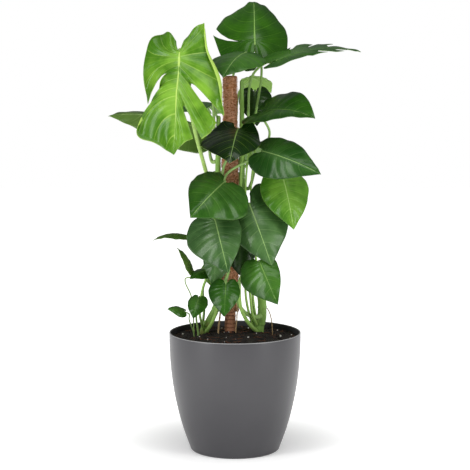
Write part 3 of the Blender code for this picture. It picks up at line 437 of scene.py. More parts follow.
class PoleSettings(bpy.types.PropertyGroup):
    bands: FloatProperty(name="Wood bands", description="Between two bands of the stake", unit="LENGTH",
                         default=0.009)
    roughness: FloatProperty(name="Coir lumps", description="How far the coir's surface wanders",
                             unit="LENGTH", default=0.0016)
    fibres: IntProperty(name="Coir fibres", description="Fibres that stand off the coir", default=1400)
    wood: FloatVectorProperty(name="Wood", description="Stake", subtype="COLOR", size=4,
                              default=srgb(176, 102, 44))
    coir: FloatVectorProperty(name="Coir", description="Coconut fibre", subtype="COLOR", size=4,
                              default=srgb(214, 130, 52))


class PlantSettings(bpy.types.PropertyGroup):
    blade: FloatProperty(name="Blade", description="Thickness of a leaf", unit="LENGTH", default=0.0009)
    puff: FloatProperty(name="Puff", description="How far the blade rises between its side veins",
                        unit="LENGTH", default=0.0007)
    groove: FloatProperty(name="Groove", description="Depth of the midrib's groove", unit="LENGTH",
                          default=0.0012)
    wave: FloatProperty(name="Wave", description="Height of the waves along a margin", unit="LENGTH",
                        default=0.0016)
    node_step: FloatProperty(name="Node spacing", description="Between the rings on a stem", unit="LENGTH",
                             default=0.038)
    columns: IntProperty(name="Columns", description="Columns of faces from midrib to margin", default=16)
    stem: FloatVectorProperty(name="Stem", description="Skin of the stems", subtype="COLOR", size=4,
                              default=srgb(118, 168, 44))
    stalk: FloatVectorProperty(name="Stalk", description="Skin of the leaf stalks", subtype="COLOR", size=4,
                               default=srgb(140, 186, 66))


class StageSettings(bpy.types.PropertyGroup):
    distance: FloatProperty(name="Camera distance", description="From the pot's axis", unit="LENGTH",
                            default=3.4)
    height: FloatProperty(name="Camera height", description="Above the floor", unit="LENGTH", default=0.89)
    aim: FloatProperty(name="Aim height", description="Height that the camera looks at", unit="LENGTH",
                       default=0.494)
    lens: FloatProperty(name="Lens", description="Focal length in millimetres on a 36 mm sensor",
                        default=115.6)
    key: FloatProperty(name="Key light", description="Power of the key light", unit="POWER", default=48.0)
    fill: FloatProperty(name="Fill light", description="Power of the fill light", unit="POWER",
                        default=34.0)
    top: FloatProperty(name="Top light", description="Power of the top light", unit="POWER", default=34.0)
    sky: FloatProperty(name="Sky", description="Strength of the light from all round", default=0.20)
    glow: FloatProperty(name="Floor glow", description="Light that the floor gives off", default=0.30)


# ---- Materials ----


class Nodes:
    """Short ways to add and join the nodes of one material."""

    def __init__(self, name):
        found = bpy.data.materials.get(name)
        self.material = found or bpy.data.materials.new(name)
        self.fresh = found is None
        if self.fresh:
            self.material.use_nodes = True
            self.tree = self.material.node_tree
            self.shader = self.tree.nodes["Principled BSDF"]
            self.place = self.tree.nodes.new("ShaderNodeTexCoord").outputs["Object"]

    def put(self, value, socket):
        if isinstance(value, bpy.types.NodeSocket):
            self.tree.links.new(value, socket)
        else:
            socket.default_value = value

    def add(self, kind, settings=None, outlet=0, **inputs):
        node = self.tree.nodes.new(kind)
        for key, value in (settings or {}).items():
            setattr(node, key, value)
        for key, value in inputs.items():
            self.put(value, node.inputs[int(key[1:]) if key[1:].isdigit() else key.replace("_", " ")])
        return node.outputs[outlet]

    def math(self, operation, a, b=0.0, clamp=False):
        return self.add("ShaderNodeMath", {"operation": operation, "use_clamp": clamp}, i0=a, i1=b)

    def noise(self, scale, detail=4.0, place=None, rough=0.55, distortion=0.0):
        return self.add("ShaderNodeTexNoise", None, 0, Vector=place or self.place, Scale=scale,
                        Detail=detail, Roughness=rough, Distortion=distortion)

    def stretched(self, scale):
        return self.add("ShaderNodeMapping", None, 0, Vector=self.place, Scale=scale)

    def range(self, value, low, high, to_low=0.0, to_high=1.0):
        return self.add("ShaderNodeMapRange", {"interpolation_type": "SMOOTHSTEP"}, 0, i0=value, i1=low,
                        i2=high, i3=to_low, i4=to_high)

    def mix(self, share, a, b):
        node = self.tree.nodes.new("ShaderNodeMix")
        node.data_type = "RGBA"
        self.put(share, node.inputs[0])
        self.put(a, node.inputs[6])
        self.put(b, node.inputs[7])
        return node.outputs[2]

    def surface(self, colour, roughness, height=None, depth=0.001, **fixed):
        self.put(colour, self.shader.inputs["Base Color"])
        self.put(roughness, self.shader.inputs["Roughness"])
        for key, value in fixed.items():
            self.shader.inputs[key.replace("_", " ")].default_value = value
        if height is not None:
            bump = self.add("ShaderNodeBump", None, 0, Height=height, Distance=depth, Strength=1.0)
            self.put(bump, self.shader.inputs["Normal"])
        return self.material


def made_once(build):
    """Lets a function build its material, under its own name, the first time it is asked for."""
    def get(*settings):
        n = Nodes(build.__name__)
        if n.fresh:
            build(n, *settings)
        return n.material
    return get


def darker(colour, share):
    """The colour with a share of its light."""
    return tuple(c * share for c in colour[:3]) + (1.0,)


def lighter(colour, share):
    """The colour with a share of the way to white added."""
    return tuple(c + (1 - c) * share for c in colour[:3]) + (1.0,)


@made_once
def moulded_plastic(n, colour, lip):
    """Satin plastic, with a painted highlight: a paler band along the top of the lip."""
    cloud = n.noise(9, 3)
    grain = n.noise(1400, 2)
    tone = n.mix(n.math("MULTIPLY", cloud, 0.5), darker(colour, 0.88), lighter(colour, 0.03))
    height = n.add("ShaderNodeSeparateXYZ", None, 2, Vector=n.place)
    # Painted highlight: the top of the lip is lightened from about 2 mm below the rim upwards.
    tone = n.mix(n.range(height, lip - 0.0020, lip - 0.0008, 0.0, 0.7), tone, lighter(colour, 0.34))
    rough = n.range(cloud, 0.2, 0.8, 0.34, 0.38)
    n.surface(tone, rough, grain, 0.00004, Specular_IOR_Level=0.5)


@made_once
def damp_soil(n, colour):
    lumps = n.noise(140, 8, rough=0.7)
    bark = n.range(n.noise(75, 3), 0.58, 0.66)
    tone = n.mix(lumps, darker(colour, 0.25), lighter(colour, 0.04))
    tone = n.mix(n.math("MULTIPLY", bark, 0.6), tone, srgb(92, 62, 42))
    n.surface(tone, n.range(lumps, 0.3, 0.7, 0.98, 0.72), lumps, 0.003, Specular_IOR_Level=0.15)


@made_once
def perlite(n):
    pits = n.noise(900, 4)
    n.surface(n.mix(pits, srgb(206, 200, 190), srgb(246, 244, 238)), 0.9, pits, 0.0006)


@made_once
def bark_fibre(n):
    patch = n.noise(60, 3)
    n.surface(n.mix(patch, srgb(70, 38, 24), srgb(122, 74, 46)), 0.85, n.noise(900, 3), 0.0003)


@made_once
def stake_wood(n, colour, band):
    grain = n.noise(42, 8, n.stretched((10, 10, 1)), 0.65)
    height = n.add("ShaderNodeSeparateXYZ", None, 2, Vector=n.place)
    wobble = n.math("MULTIPLY", n.noise(40, 2), 0.7)
    beat = n.math("FRACT", n.math("ADD", n.math("DIVIDE", height, band), wobble))
    ring = n.range(n.math("ABSOLUTE", n.math("SUBTRACT", beat, 0.5)), 0.0, 0.28, 1.0, 0.0)
    tone = n.mix(grain, darker(colour, 0.45), lighter(colour, 0.12))
    tone = n.mix(n.math("MULTIPLY", ring, 0.5), tone, darker(colour, 0.3))
    relief = n.math("SUBTRACT", grain, ring)
    n.surface(tone, n.range(grain, 0.3, 0.7, 0.62, 0.85), relief, 0.0012)


@made_once
def coir_mat(n, colour):
    long_fibres = n.noise(260, 6, n.stretched((1, 1, 0.16)), 0.7, 1.2)
    cross_fibres = n.noise(300, 6, n.stretched((0.2, 0.2, 1.4)), 0.7, 1.2)
    fibres = n.math("MAXIMUM", long_fibres, cross_fibres)
    patch = n.noise(38, 3)
    tone = n.mix(n.range(fibres, 0.42, 0.7), darker(colour, 0.25), lighter(colour, 0.22))
    tone = n.mix(n.range(patch, 0.5, 0.75, 0.0, 0.6), tone, darker(colour, 0.5))
    n.surface(tone, 0.95, fibres, 0.003, Specular_IOR_Level=0.05)


@made_once
def coir_strand(n, colour):
    tone = n.mix(n.noise(70, 2), darker(colour, 0.6), lighter(colour, 0.35))
    n.surface(tone, 0.8, Specular_IOR_Level=0.1)


@made_once
def stem_skin(n, colour):
    height = n.add("ShaderNodeSeparateXYZ", None, 2, Vector=n.place)
    streak = n.noise(150, 5, n.stretched((1, 1, 0.12)), 0.6)
    scar = n.range(n.noise(34, 5), 0.55, 0.7)
    old = n.range(height, 0.27, 0.36, 0.5, 0.08)
    tone = n.mix(streak, darker(colour, 0.55), lighter(colour, 0.12))
    tone = n.mix(n.math("MULTIPLY", scar, old), tone, srgb(122, 98, 62))
    n.surface(tone, n.range(streak, 0.3, 0.7, 0.42, 0.6), streak, 0.0006, Specular_IOR_Level=0.25,
              Specular_Tint=(0.7, 0.9, 0.4, 1))


def stalk_skin(name, colour):
    n = Nodes("stalk_skin_" + name)
    if n.fresh:
        streak = n.noise(420, 4, n.stretched((1, 1, 0.08)), 0.6)
        patch = n.noise(45, 3)
        tone = n.mix(streak, darker(colour, 0.78), lighter(colour, 0.14))
        tone = n.mix(n.range(patch, 0.5, 0.8, 0.0, 0.45), tone, darker(colour, 0.6))
        n.surface(tone, n.range(patch, 0.3, 0.7, 0.36, 0.5), streak, 0.0003, Specular_IOR_Level=0.25,
                  Specular_Tint=(0.7, 0.9, 0.4, 1))
    return n.material


@made_once
def root_bark(n):
    patch = n.noise(160, 5)
    n.surface(n.mix(patch, srgb(110, 84, 56), srgb(190, 164, 118)), 0.75, patch, 0.0006)


def leaf_skin(name, under=False):
    """Leaf surface that follows the piece's UV map: x runs midrib to margin, y counts side veins."""
    upper, deep, vein, below, rough = LEAF_LOOKS[name]
    n = Nodes("leaf_%s_%s" % (name, "under" if under else "upper"))
    if not n.fresh:
        return n.material
    uv = n.add("ShaderNodeUVMap", {"uv_map": "UVMap"})
    across = n.add("ShaderNodeSeparateXYZ", None, 0, Vector=uv)
    along = n.add("ShaderNodeSeparateXYZ", None, 1, Vector=uv)
    out = n.math("ABSOLUTE", n.math("SUBTRACT", n.math("MULTIPLY", across, 2.0), 1.0))
    count = n.math("MULTIPLY", along, UV_ROWS)

    def near_line(steps, width):
        """1 on each line of a set that crosses the blade, 0 a width away from it."""
        beat = n.math("FRACT", n.math("ADD", n.math("MULTIPLY", count, steps), 0.5))
        away = n.math("ABSOLUTE", n.math("SUBTRACT", beat, 0.5))
        reach = n.math("MULTIPLY", n.math("SUBTRACT", 1.1, out), width)
        return n.math("SUBTRACT", 1.0, n.range(n.math("DIVIDE", away, reach), 0.35, 1.0))

    main_veins = near_line(1.0, 0.06)
    fine_veins = n.math("MULTIPLY", near_line(4.0, 0.22), 0.08)
    midrib = n.range(out, 0.010, 0.030, 1.0, 0.0)
    veins = n.math("MAXIMUM", n.math("MULTIPLY", main_veins, 0.38), n.math("MAXIMUM", midrib, fine_veins))
    shade = n.noise(16, 3)
    mottle = n.noise(120, 5, rough=0.65)
    ground = n.mix(n.range(shade, 0.32, 0.68), deep, upper)
    ground = n.mix(n.math("MULTIPLY", mottle, 0.35), ground, deep)
    # Painted shade: the outer part of each blade's left half darkens towards its margin, as if turned away
    # from the light.
    ground = n.mix(n.range(across, 0.0, 0.34, 0.75, 0.0), ground, darker(deep, 0.85))
    ground = n.mix(n.range(out, 0.0, 0.30, 0.35, 0.0), ground, lighter(upper, 0.03))
    if under:
        ground = n.mix(n.math("MULTIPLY", mottle, 0.4), below, upper)
    # Painted highlight: a pale line of vein colour along the margin.
    rim = n.range(out, 0.975, 1.0)
    tone = n.mix(n.math("MULTIPLY", veins, 0.85), ground, lighter(below, 0.1) if under else vein)
    tone = n.mix(n.math("MULTIPLY", rim, 0.4), tone, vein)
    cells = n.add("ShaderNodeTexVoronoi", None, 0, Vector=n.place, Scale=620.0)
    raised = n.math("MULTIPLY", veins, 1.0 if under else -0.8)
    relief = n.math("ADD", raised, n.math("MULTIPLY", cells, 0.16))
    least, most = (rough + 0.14, rough + 0.24) if under else (rough, rough + 0.10)
    roughness = n.range(mottle, 0.3, 0.7, least, most)
    n.surface(tone, roughness, relief, 0.0006, Coat_Weight=0.0 if under else 0.35, Coat_Roughness=0.20,
              Specular_IOR_Level=0.10, Specular_Tint=(0.5, 0.85, 0.3, 1))
    return n.material


@made_once
def studio_floor(n, glow):
    """A white floor that gives off more light away from the pot, so its shadow fades to white."""
    away = n.add("ShaderNodeVectorMath", {"operation": "LENGTH"}, "Value", Vector=n.place)
    n.surface(n.mix(n.noise(3, 2), (0.84, 0.84, 0.84, 1), (0.88, 0.88, 0.88, 1)), 0.85,
              Emission_Color=(1, 1, 1, 1), Specular_IOR_Level=0.1)
    n.put(n.range(away, 0.12, 0.50, glow, 1.0), n.shader.inputs["Emission Strength"])


# ---- Ways of working ----


def deselect():
    if bpy.context.mode != "OBJECT":
        bpy.ops.object.mode_set(mode="OBJECT")
    bpy.ops.object.select_all(action="DESELECT")


def only(piece):
    deselect()
    piece.select_set(True)
    bpy.context.view_layer.objects.active = piece


def new_piece(name):
    piece = bpy.context.object
    piece.name = "monstera_" + name
    return piece


def tidy_mesh(piece, outwards=True):
    """Merges doubled points and, on a closed shell, turns the faces outwards."""
    only(piece)
    bpy.ops.object.mode_set(mode="EDIT")
    bpy.ops.mesh.select_all(action="SELECT")
    bpy.ops.mesh.remove_doubles(threshold=MERGE)
    if outwards:
        bpy.ops.mesh.normals_make_consistent(inside=False)
    bpy.ops.object.mode_set(mode="OBJECT")


def paint(piece, *materials):
    piece.data.materials.clear()
    for made in materials:
        piece.data.materials.append(made)


def hand_over(piece, slot, *nodes):
    """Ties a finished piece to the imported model."""
    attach(piece, "root")
    if nodes:
        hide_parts(*nodes)
    deselect()
    return piece


def joined(pieces):
    """The pieces as one object, the first of them."""
    deselect()
    for piece in pieces:
        piece.select_set(True)
    bpy.context.view_layer.objects.active = pieces[0]
    if len(pieces) > 1:
        bpy.ops.object.join()
    return pieces[0]


def turned(name, profile, steps, centre=(0.0, 0.0), ring=False):
    """Spins a profile of (radius, z) points round an upright axis. A ring's profile is a closed loop."""
    deselect()
    bpy.ops.mesh.primitive_circle_add(vertices=len(profile), radius=1.0, fill_type="NOTHING")
    piece = new_piece(name)
    for vertex, (radius, z) in zip(piece.data.vertices, profile):
        vertex.co = (centre[0] + radius, centre[1], z)
    bpy.ops.object.mode_set(mode="EDIT")
    if not ring:
        edit = bmesh.from_edit_mesh(piece.data)
        edit.verts.ensure_lookup_table()
        ends = {edit.verts[0], edit.verts[len(profile) - 1]}
        closing = [edge for edge in edit.edges if set(edge.verts) == ends]
        bmesh.ops.delete(edit, geom=closing, context="EDGES")
        bmesh.update_edit_mesh(piece.data)
    bpy.ops.mesh.select_all(action="SELECT")
    bpy.ops.mesh.spin(steps=steps, angle=2 * math.pi, center=(*centre, 0), axis=(0, 0, 1))
    bpy.ops.object.mode_set(mode="OBJECT")
    tidy_mesh(piece)
    bpy.ops.object.shade_smooth()
    return piece


def swept(name, path, radii, roundness=3):
    """A round bar along a path of points, with its own radius at each, as a closed mesh."""
    deselect()
    bpy.ops.curve.primitive_nurbs_path_add(location=(0, 0, 0))
    piece = new_piece(name)
    curve = piece.data
    spline = curve.splines[0]
    spline.type = "POLY"
    spline.points.add(len(path) - len(spline.points))
    for point, place, radius in zip(spline.points, path, radii):
        point.co = (*place, 1)
        point.radius = radius
    curve.dimensions = "3D"
    curve.bevel_depth = 1.0
    curve.bevel_resolution = roundness
    curve.use_fill_caps = True
    bpy.ops.object.convert(target="MESH")
    piece = bpy.context.object
    tidy_mesh(piece)
    bpy.ops.object.shade_smooth()
    return piece


def smooth_path(points, step):
    """Points every step or so along a smooth curve through the given ones."""
    points = [Vector(p) for p in points]
    path = [points[0]]
    for i in range(len(points) - 1):
        before = points[max(i - 1, 0)]
        after = points[min(i + 2, len(points) - 1)]
        start, end = points[i], points[i + 1]
        length = (end - start).length
        leave = (end - before).normalized() * length / 3
        arrive = (after - start).normalized() * length / 3
        count = max(1, round(length / step))
        path += interpolate_bezier(start, start + leave, end - arrive, end, count + 1)[1:]
    return path


def distances(path):
    """How far along the path each point lies."""
    run = [0.0]
    for a, b in zip(path, path[1:]):
        run.append(run[-1] + (b - a).length)
    return run


def copies(name, pattern, placings):
    """One object holding a copy of the pattern's mesh at each placing. The pattern is removed."""
    collected = bmesh.new()
    for placing in placings:
        start = len(collected.verts)
        collected.from_mesh(pattern.data)
        collected.verts.ensure_lookup_table()
        bmesh.ops.transform(collected, matrix=placing, verts=collected.verts[start:])
    collected.to_mesh(pattern.data)
    collected.free()
    pattern.name = "monstera_" + name
    only(pattern)
    bpy.ops.object.shade_smooth()
    return pattern


# ---- Pot ----


def pot_radius(pot, z):
    """Radius of the wall's outside at a height, turning in late towards the foot."""
    share = 1 - (1 - z / pot.height) ** pot.taper
    return pot.base_radius + (pot.rim_radius - pot.base_radius) * share


# Steps of the pot's profile: round its foot, up the wall, over the lip and down the inside
FOOT_STEPS, WALL_STEPS, LIP_STEPS, INNER_STEPS = 8, 48, 10, 24


class MONSTERA_OT_pot(bpy.types.Operator):
    """Adds the tapered pot with its rounded rim and foot"""

    bl_idname = "monstera.add_pot"
    bl_label = "Add pot"

    def execute(self, context):
        pot = context.scene.monstera_pot
        foot = pot_radius(pot, pot.foot_round)
        profile = [(0.0, FOOT_HOLLOW), (foot * 0.86, FOOT_HOLLOW), (foot * 0.88, 0.0)]
        for i in range(FOOT_STEPS + 1):
            turn = math.radians(90 * i / FOOT_STEPS)
            inset = pot.foot_round * (1 - math.sin(turn))
            profile.append((foot - inset, pot.foot_round * (1 - math.cos(turn))))
        lip = pot.wall / 2
        rise = pot.height - lip - pot.foot_round
        for i in range(1, WALL_STEPS + 1):
            z = pot.foot_round + rise * i / WALL_STEPS
            profile.append((pot_radius(pot, z), z))
        middle = pot_radius(pot, pot.height - lip) - lip
        for i in range(1, LIP_STEPS):
            turn = math.pi * i / LIP_STEPS
            profile.append((middle + lip * math.cos(turn), pot.height - lip + lip * math.sin(turn)))
        for i in range(INNER_STEPS, -1, -1):
            z = pot.floor + (pot.height - lip - pot.floor) * i / INNER_STEPS
            profile.append((pot_radius(pot, z) - pot.wall, z))
        profile.append((0.0, pot.floor))
        piece = turned("pot", profile, pot.steps)
        paint(piece, moulded_plastic(tuple(pot.colour), pot.height))
        hand_over(piece, "pot_plastic", "pot")
        return {"FINISHED"}


# ---- Soil ----


def soil_top(scene, x, y):
    """Height of the soil: level near the wall and mounded round the stems."""
    pot, soil = scene.monstera_pot, scene.monstera_soil
    away = math.hypot(x, y)
    mound = 0.5 + 0.5 * math.cos(math.pi * min(away / soil.mound_radius, 1))
    return pot.height - soil.edge_drop + soil.mound * mound


def any_turn(draw, axis):
    """A turn round an axis by a random angle."""
    return Matrix.Rotation(draw.uniform(0, ANY_ANGLE), 4, axis)


def scattered(count, seed, reach, lift, scene):
    """Random places on the soil: (source of the random numbers, point, random turn)."""
    draw = random.Random(seed)
    for _ in range(count):
        away, bearing = reach * math.sqrt(draw.random()), draw.uniform(0, 2 * math.pi)
        x, y = away * math.cos(bearing), away * math.sin(bearing)
        turn = any_turn(draw, "Z") @ any_turn(draw, "X")
        yield draw, Vector((x, y, soil_top(scene, x, y) + lift)), turn


# Steps of the soil: rings over its top, rings down its side, and round it
TOP_RINGS, SIDE_RINGS, SOIL_SECTORS = 90, 12, 220


class MONSTERA_OT_soil(bpy.types.Operator):
    """Adds the lumpy soil with its crumbs, white grains and fibres"""

    bl_idname = "monstera.add_soil"
    bl_label = "Add soil"

    def execute(self, context):
        scene = context.scene
        pot, soil = scene.monstera_pot, scene.monstera_soil
        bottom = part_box("soil")[0].z
        edge_z = pot.height - soil.edge_drop
        edge = pot_radius(pot, edge_z) - pot.wall - SOIL_GAP
        profile = [(edge * i / TOP_RINGS, edge_z) for i in range(TOP_RINGS + 1)]
        for i in range(1, SIDE_RINGS + 1):
            z = edge_z + (bottom - edge_z) * i / SIDE_RINGS
            profile.append((pot_radius(pot, z) - pot.wall - SOIL_GAP, z))
        profile.append((0.0, bottom))
        bed = turned("soil", profile, SOIL_SECTORS)
        for vertex in bed.data.vertices:
            x, y, z = vertex.co
            if z > edge_z - MERGE:
                calm = min(1.0, max(0.0, (edge - math.hypot(x, y)) / SOIL_CALM))
                lumps = noise.fractal(Vector((x, y, 0)) * LUMP_SCALE, 0.9, 2.1, 5) * LUMP_HEIGHT
                vertex.co.z = soil_top(scene, x, y) + lumps * calm
        paint(bed, damp_soil(tuple(soil.colour)))
        hand_over(bed, "potting_soil", "soil")
        self.add_crumbs(scene, edge)
        self.add_grains(scene, edge)
        self.add_fibres(scene, edge)
        return {"FINISHED"}

    def pebble(self, roundness):
        deselect()
        bpy.ops.mesh.primitive_ico_sphere_add(subdivisions=roundness, radius=1.0)
        piece = bpy.context.object
        for vertex in piece.data.vertices:
            vertex.co *= 1 + 0.35 * noise.noise(vertex.co * 1.7)
        return piece

    def add_crumbs(self, scene, edge):
        soil = scene.monstera_soil
        placings = []
        for draw, place, turn in scattered(soil.crumbs, 11, edge * 0.97, 0.0004, scene):
            size = draw.uniform(0.0008, 0.0034)
            stretch = Matrix.Diagonal((size, size * draw.uniform(0.5, 1.0), size * 0.6, 1))
            placings.append(Matrix.Translation(place) @ turn @ stretch)
        piece = copies("soil_crumbs", self.pebble(2), placings)
        paint(piece, damp_soil(tuple(soil.colour)))
        hand_over(piece, "potting_soil")

    def add_grains(self, scene, edge):
        soil = scene.monstera_soil
        placings = []
        for draw, place, turn in scattered(soil.grains, 5, edge * 0.94, 0.0008, scene):
            size = draw.uniform(0.0009, 0.0021)
            placings.append(Matrix.Translation(place) @ turn @ Matrix.Diagonal((size, size, size * 0.8, 1)))
        piece = copies("soil_white_grains", self.pebble(2), placings)
        paint(piece, perlite())
        hand_over(piece, "potting_soil")

    def add_fibres(self, scene, edge):
        soil = scene.monstera_soil
        strands = []
        for draw, _, _ in scattered(12, 23, 1.0, 0.0, scene):
            bend = draw.uniform(-0.004, 0.004)
            path = [Vector((0.004 * i, bend * math.sin(i), 0.0006 * math.sin(2.0 * i))) for i in range(6)]
            strands.append(swept("strand", path, [0.00045] * 5 + [0.0002], 0))
        placings = []
        for draw, place, _ in scattered(soil.fibres // len(strands), 31, edge * 0.88, 0.0016, scene):
            spin = any_turn(draw, "Z") @ Matrix.Rotation(draw.uniform(-0.1, 0.1), 4, "Y")
            placings.append((place, spin))
        made = []
        for i, strand in enumerate(strands):
            shift = Matrix.Rotation(i * 0.9, 4, "Z")
            made.append(copies("fibre", strand, [shift @ Matrix.Translation(p) @ s for p, s in placings]))
        piece = joined(made)
        piece.name = "monstera_soil_fibres"
        paint(piece, bark_fibre())
        hand_over(piece, "potting_soil")


# ---- Pole ----


def pole_centre():
    """The pole's middle, as (x, y)."""
    low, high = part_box("pole_stake")
    return (low.x + high.x) / 2, (low.y + high.y) / 2


class MONSTERA_OT_pole(bpy.types.Operator):
    """Adds the wood stake and the coir sleeve with its loose fibres"""

    bl_idname = "monstera.add_pole"
    bl_label = "Add pole"

    def execute(self, context):
        pole = context.scene.monstera_pole
        low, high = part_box("pole_stake")
        centre = pole_centre()
        radius = (high.x - low.x) / 2
        profile = [(0.0, low.z)]
        rings = 160
        profile += [(radius, low.z + (high.z - low.z) * i / rings) for i in range(rings + 1)]
        profile.append((0.0, high.z))
        stake = turned("pole_stake", profile, 48, centre)
        for vertex in stake.data.vertices:
            away = Vector((vertex.co.x - centre[0], vertex.co.y - centre[1], 0))
            vertex.co += away * 0.06 * noise.noise(vertex.co * 90)
        paint(stake, stake_wood(tuple(pole.wood), pole.bands))
        hand_over(stake, "pole_wood", "pole_stake")
        self.add_sleeve(pole, centre, radius)
        return {"FINISHED"}

    def add_sleeve(self, pole, centre, bore):
        low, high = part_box("coir_sleeve")
        outer = (high.x - low.x) / 2
        neck = outer - NECK_INSET

        def wall(z):
            share = min(1, max(0, (z - (high.z - NECK_START)) / NECK_LENGTH))
            return outer + (neck - outer) * share

        rings = 260
        profile = [(bore * 0.98, low.z), (wall(low.z) - 0.003, low.z)]
        for i in range(1, rings):
            z = low.z + (high.z - low.z) * i / rings
            profile.append((wall(z), z))
        profile += [(wall(high.z) - 0.002, high.z), (bore * 0.98, high.z)]
        sleeve = turned("coir_sleeve", profile, 96, centre, ring=True)
        for vertex in sleeve.data.vertices:
            away = Vector((vertex.co.x - centre[0], vertex.co.y - centre[1], 0))
            if away.length > bore * 1.1:
                lumps = noise.fractal(vertex.co * 130, 0.8, 2.2, 4)
                vertex.co += away.normalized() * pole.roughness * (lumps - 0.6)
        paint(sleeve, coir_mat(tuple(pole.coir)))
        hand_over(sleeve, "coir", "coir_sleeve")
        self.add_fibres(pole, centre, low.z, high.z, wall)

    def add_fibres(self, pole, centre, low, high, wall):
        draw = random.Random(7)
        strands = []
        for _ in range(10):
            lift, drift = draw.uniform(0.0006, 0.0026), draw.uniform(-0.5, 0.5)
            path = []
            for i in range(6):
                turn = 0.16 * i
                radius = STRAND_CURVE * (1 + lift / STRAND_CURVE * math.sin(math.pi * (0.15 + 0.17 * i)))
                path.append(Vector((radius * math.cos(turn), radius * math.sin(turn),
                                    drift * 0.004 * i + 0.0008 * math.sin(i * 2.1))))
            strands.append(swept("strand", path, [0.00022] * 5 + [0.0001], 0))
        made = []
        for strand in strands:
            placings = []
            for _ in range(pole.fibres // len(strands)):
                z = draw.uniform(low + 0.003, high - 0.006)
                scale = (wall(z) - 0.0002) / STRAND_CURVE
                placings.append(
                    Matrix.Translation((*centre, z))
                    @ any_turn(draw, "Z")
                    @ Matrix.Diagonal((scale, scale, draw.choice((-1.5, 1.0, 2.5)), 1))
                )
            made.append(copies("fibre", strand, placings))
        piece = joined(made)
        piece.name = "monstera_coir_fibres"
        tidy_mesh(piece)
        paint(piece, coir_strand(tuple(pole.coir)))
        hand_over(piece, "coir")


# ---- Stems and roots ----


def above_rim(point):
    """A point whose height is given from the pot's rim."""
    return Vector((point[0], point[1], bpy.context.scene.monstera_pot.height + point[2]))


def stem_points(name):
    """The stem's points with their radii, from its foot in the soil up."""
    scene, stem = bpy.context.scene, STEMS[name]
    centre = pole_centre()
    low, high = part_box("coir_sleeve")
    reach = (high.x - low.x) / 2
    x, y, radius = stem["foot"]
    points = [(*above_rim((x, y, -scene.monstera_soil.edge_drop - SOCKET_DEPTH)), radius)]
    points += [(*above_rim(free), free[3]) for free in stem["free"]]
    for bearing, gap, height, radius in stem["climbing"]:
        away, turn = reach + gap + radius, math.radians(bearing)
        x, y = centre[0] + away * math.cos(turn), centre[1] + away * math.sin(turn)
        points.append((*above_rim((x, y, height)), radius))
    return points


def stem_at(name, height):
    """Centre, radius and direction of a stem at a height above the pot's rim."""
    points = stem_points(name)
    z = bpy.context.scene.monstera_pot.height + height
    for low, high in zip(points, points[1:]):
        if z <= high[2]:
            break
    share = (z - low[2]) / (high[2] - low[2])
    centre = Vector(low[:3]).lerp(Vector(high[:3]), share)
    radius = low[3] + (high[3] - low[3]) * share
    return centre, radius, (Vector(high[:3]) - Vector(low[:3])).normalized()


class MONSTERA_OT_stems(bpy.types.Operator):
    """Adds the stems with their rings and the aerial roots"""

    bl_idname = "monstera.add_stems"
    bl_label = "Add stems and roots"

    def execute(self, context):
        plant = context.scene.monstera_plant
        for name in STEMS:
            points = stem_points(name)
            path = smooth_path([p[:3] for p in points], STEM_STEP)
            radii = []
            for point in path:
                above = [p for p in points if p[2] >= point.z] or [points[-1]]
                below = [p for p in points if p[2] <= point.z] or [points[0]]
                span = above[0][2] - below[-1][2]
                share = (point.z - below[-1][2]) / span if span else 0
                radius = below[-1][3] + (above[0][3] - below[-1][3]) * share
                beat = (point.z / plant.node_step) % 1
                ring = math.exp(-((beat - 0.5) / 0.05) ** 2) - 0.5 * math.exp(-((beat - 0.40) / 0.08) ** 2)
                radii.append(radius * (0.97 + 0.10 * ring))
            tip = path[-1] - path[-2]
            path += [path[-1] + tip * 1.5, path[-1] + tip * 2.2]
            radii += [radii[-1] * 0.8, radii[-1] * 0.35]
            piece = swept(name, path, radii, 5)
            paint(piece, stem_skin(tuple(plant.stem)))
            grown = [piece]
            for radius, points in BARE_STALKS.get(name, []):
                path = smooth_path([above_rim(p) for p in points], STALK_STEP)
                thins = [radius * (1.1 - 0.35 * i / len(path)) for i in range(len(path))]
                grown.append(swept(name + "_stalk", path, thins, 3))
                paint(grown[-1], stalk_skin("bare", tuple(plant.stalk)))
            hand_over(joined(grown), "green_stem", name)
        for name, (radius, points) in ROOTS.items():
            route = [above_rim(p) for p in points]
            route.append(route[-1] - Vector((0, 0, SOCKET_DEPTH)))
            path = smooth_path(route, STALK_STEP)
            radii = [radius * (1 + 0.18 * noise.noise(p * 220)) for p in path]
            piece = swept(name, path, radii, 2)
            paint(piece, root_bark())
            hand_over(piece, "aerial_root", name)
        return {"FINISHED"}


# ---- Leaves ----


def unit(vectors):
    return vectors / np.linalg.norm(vectors, axis=-1, keepdims=True)


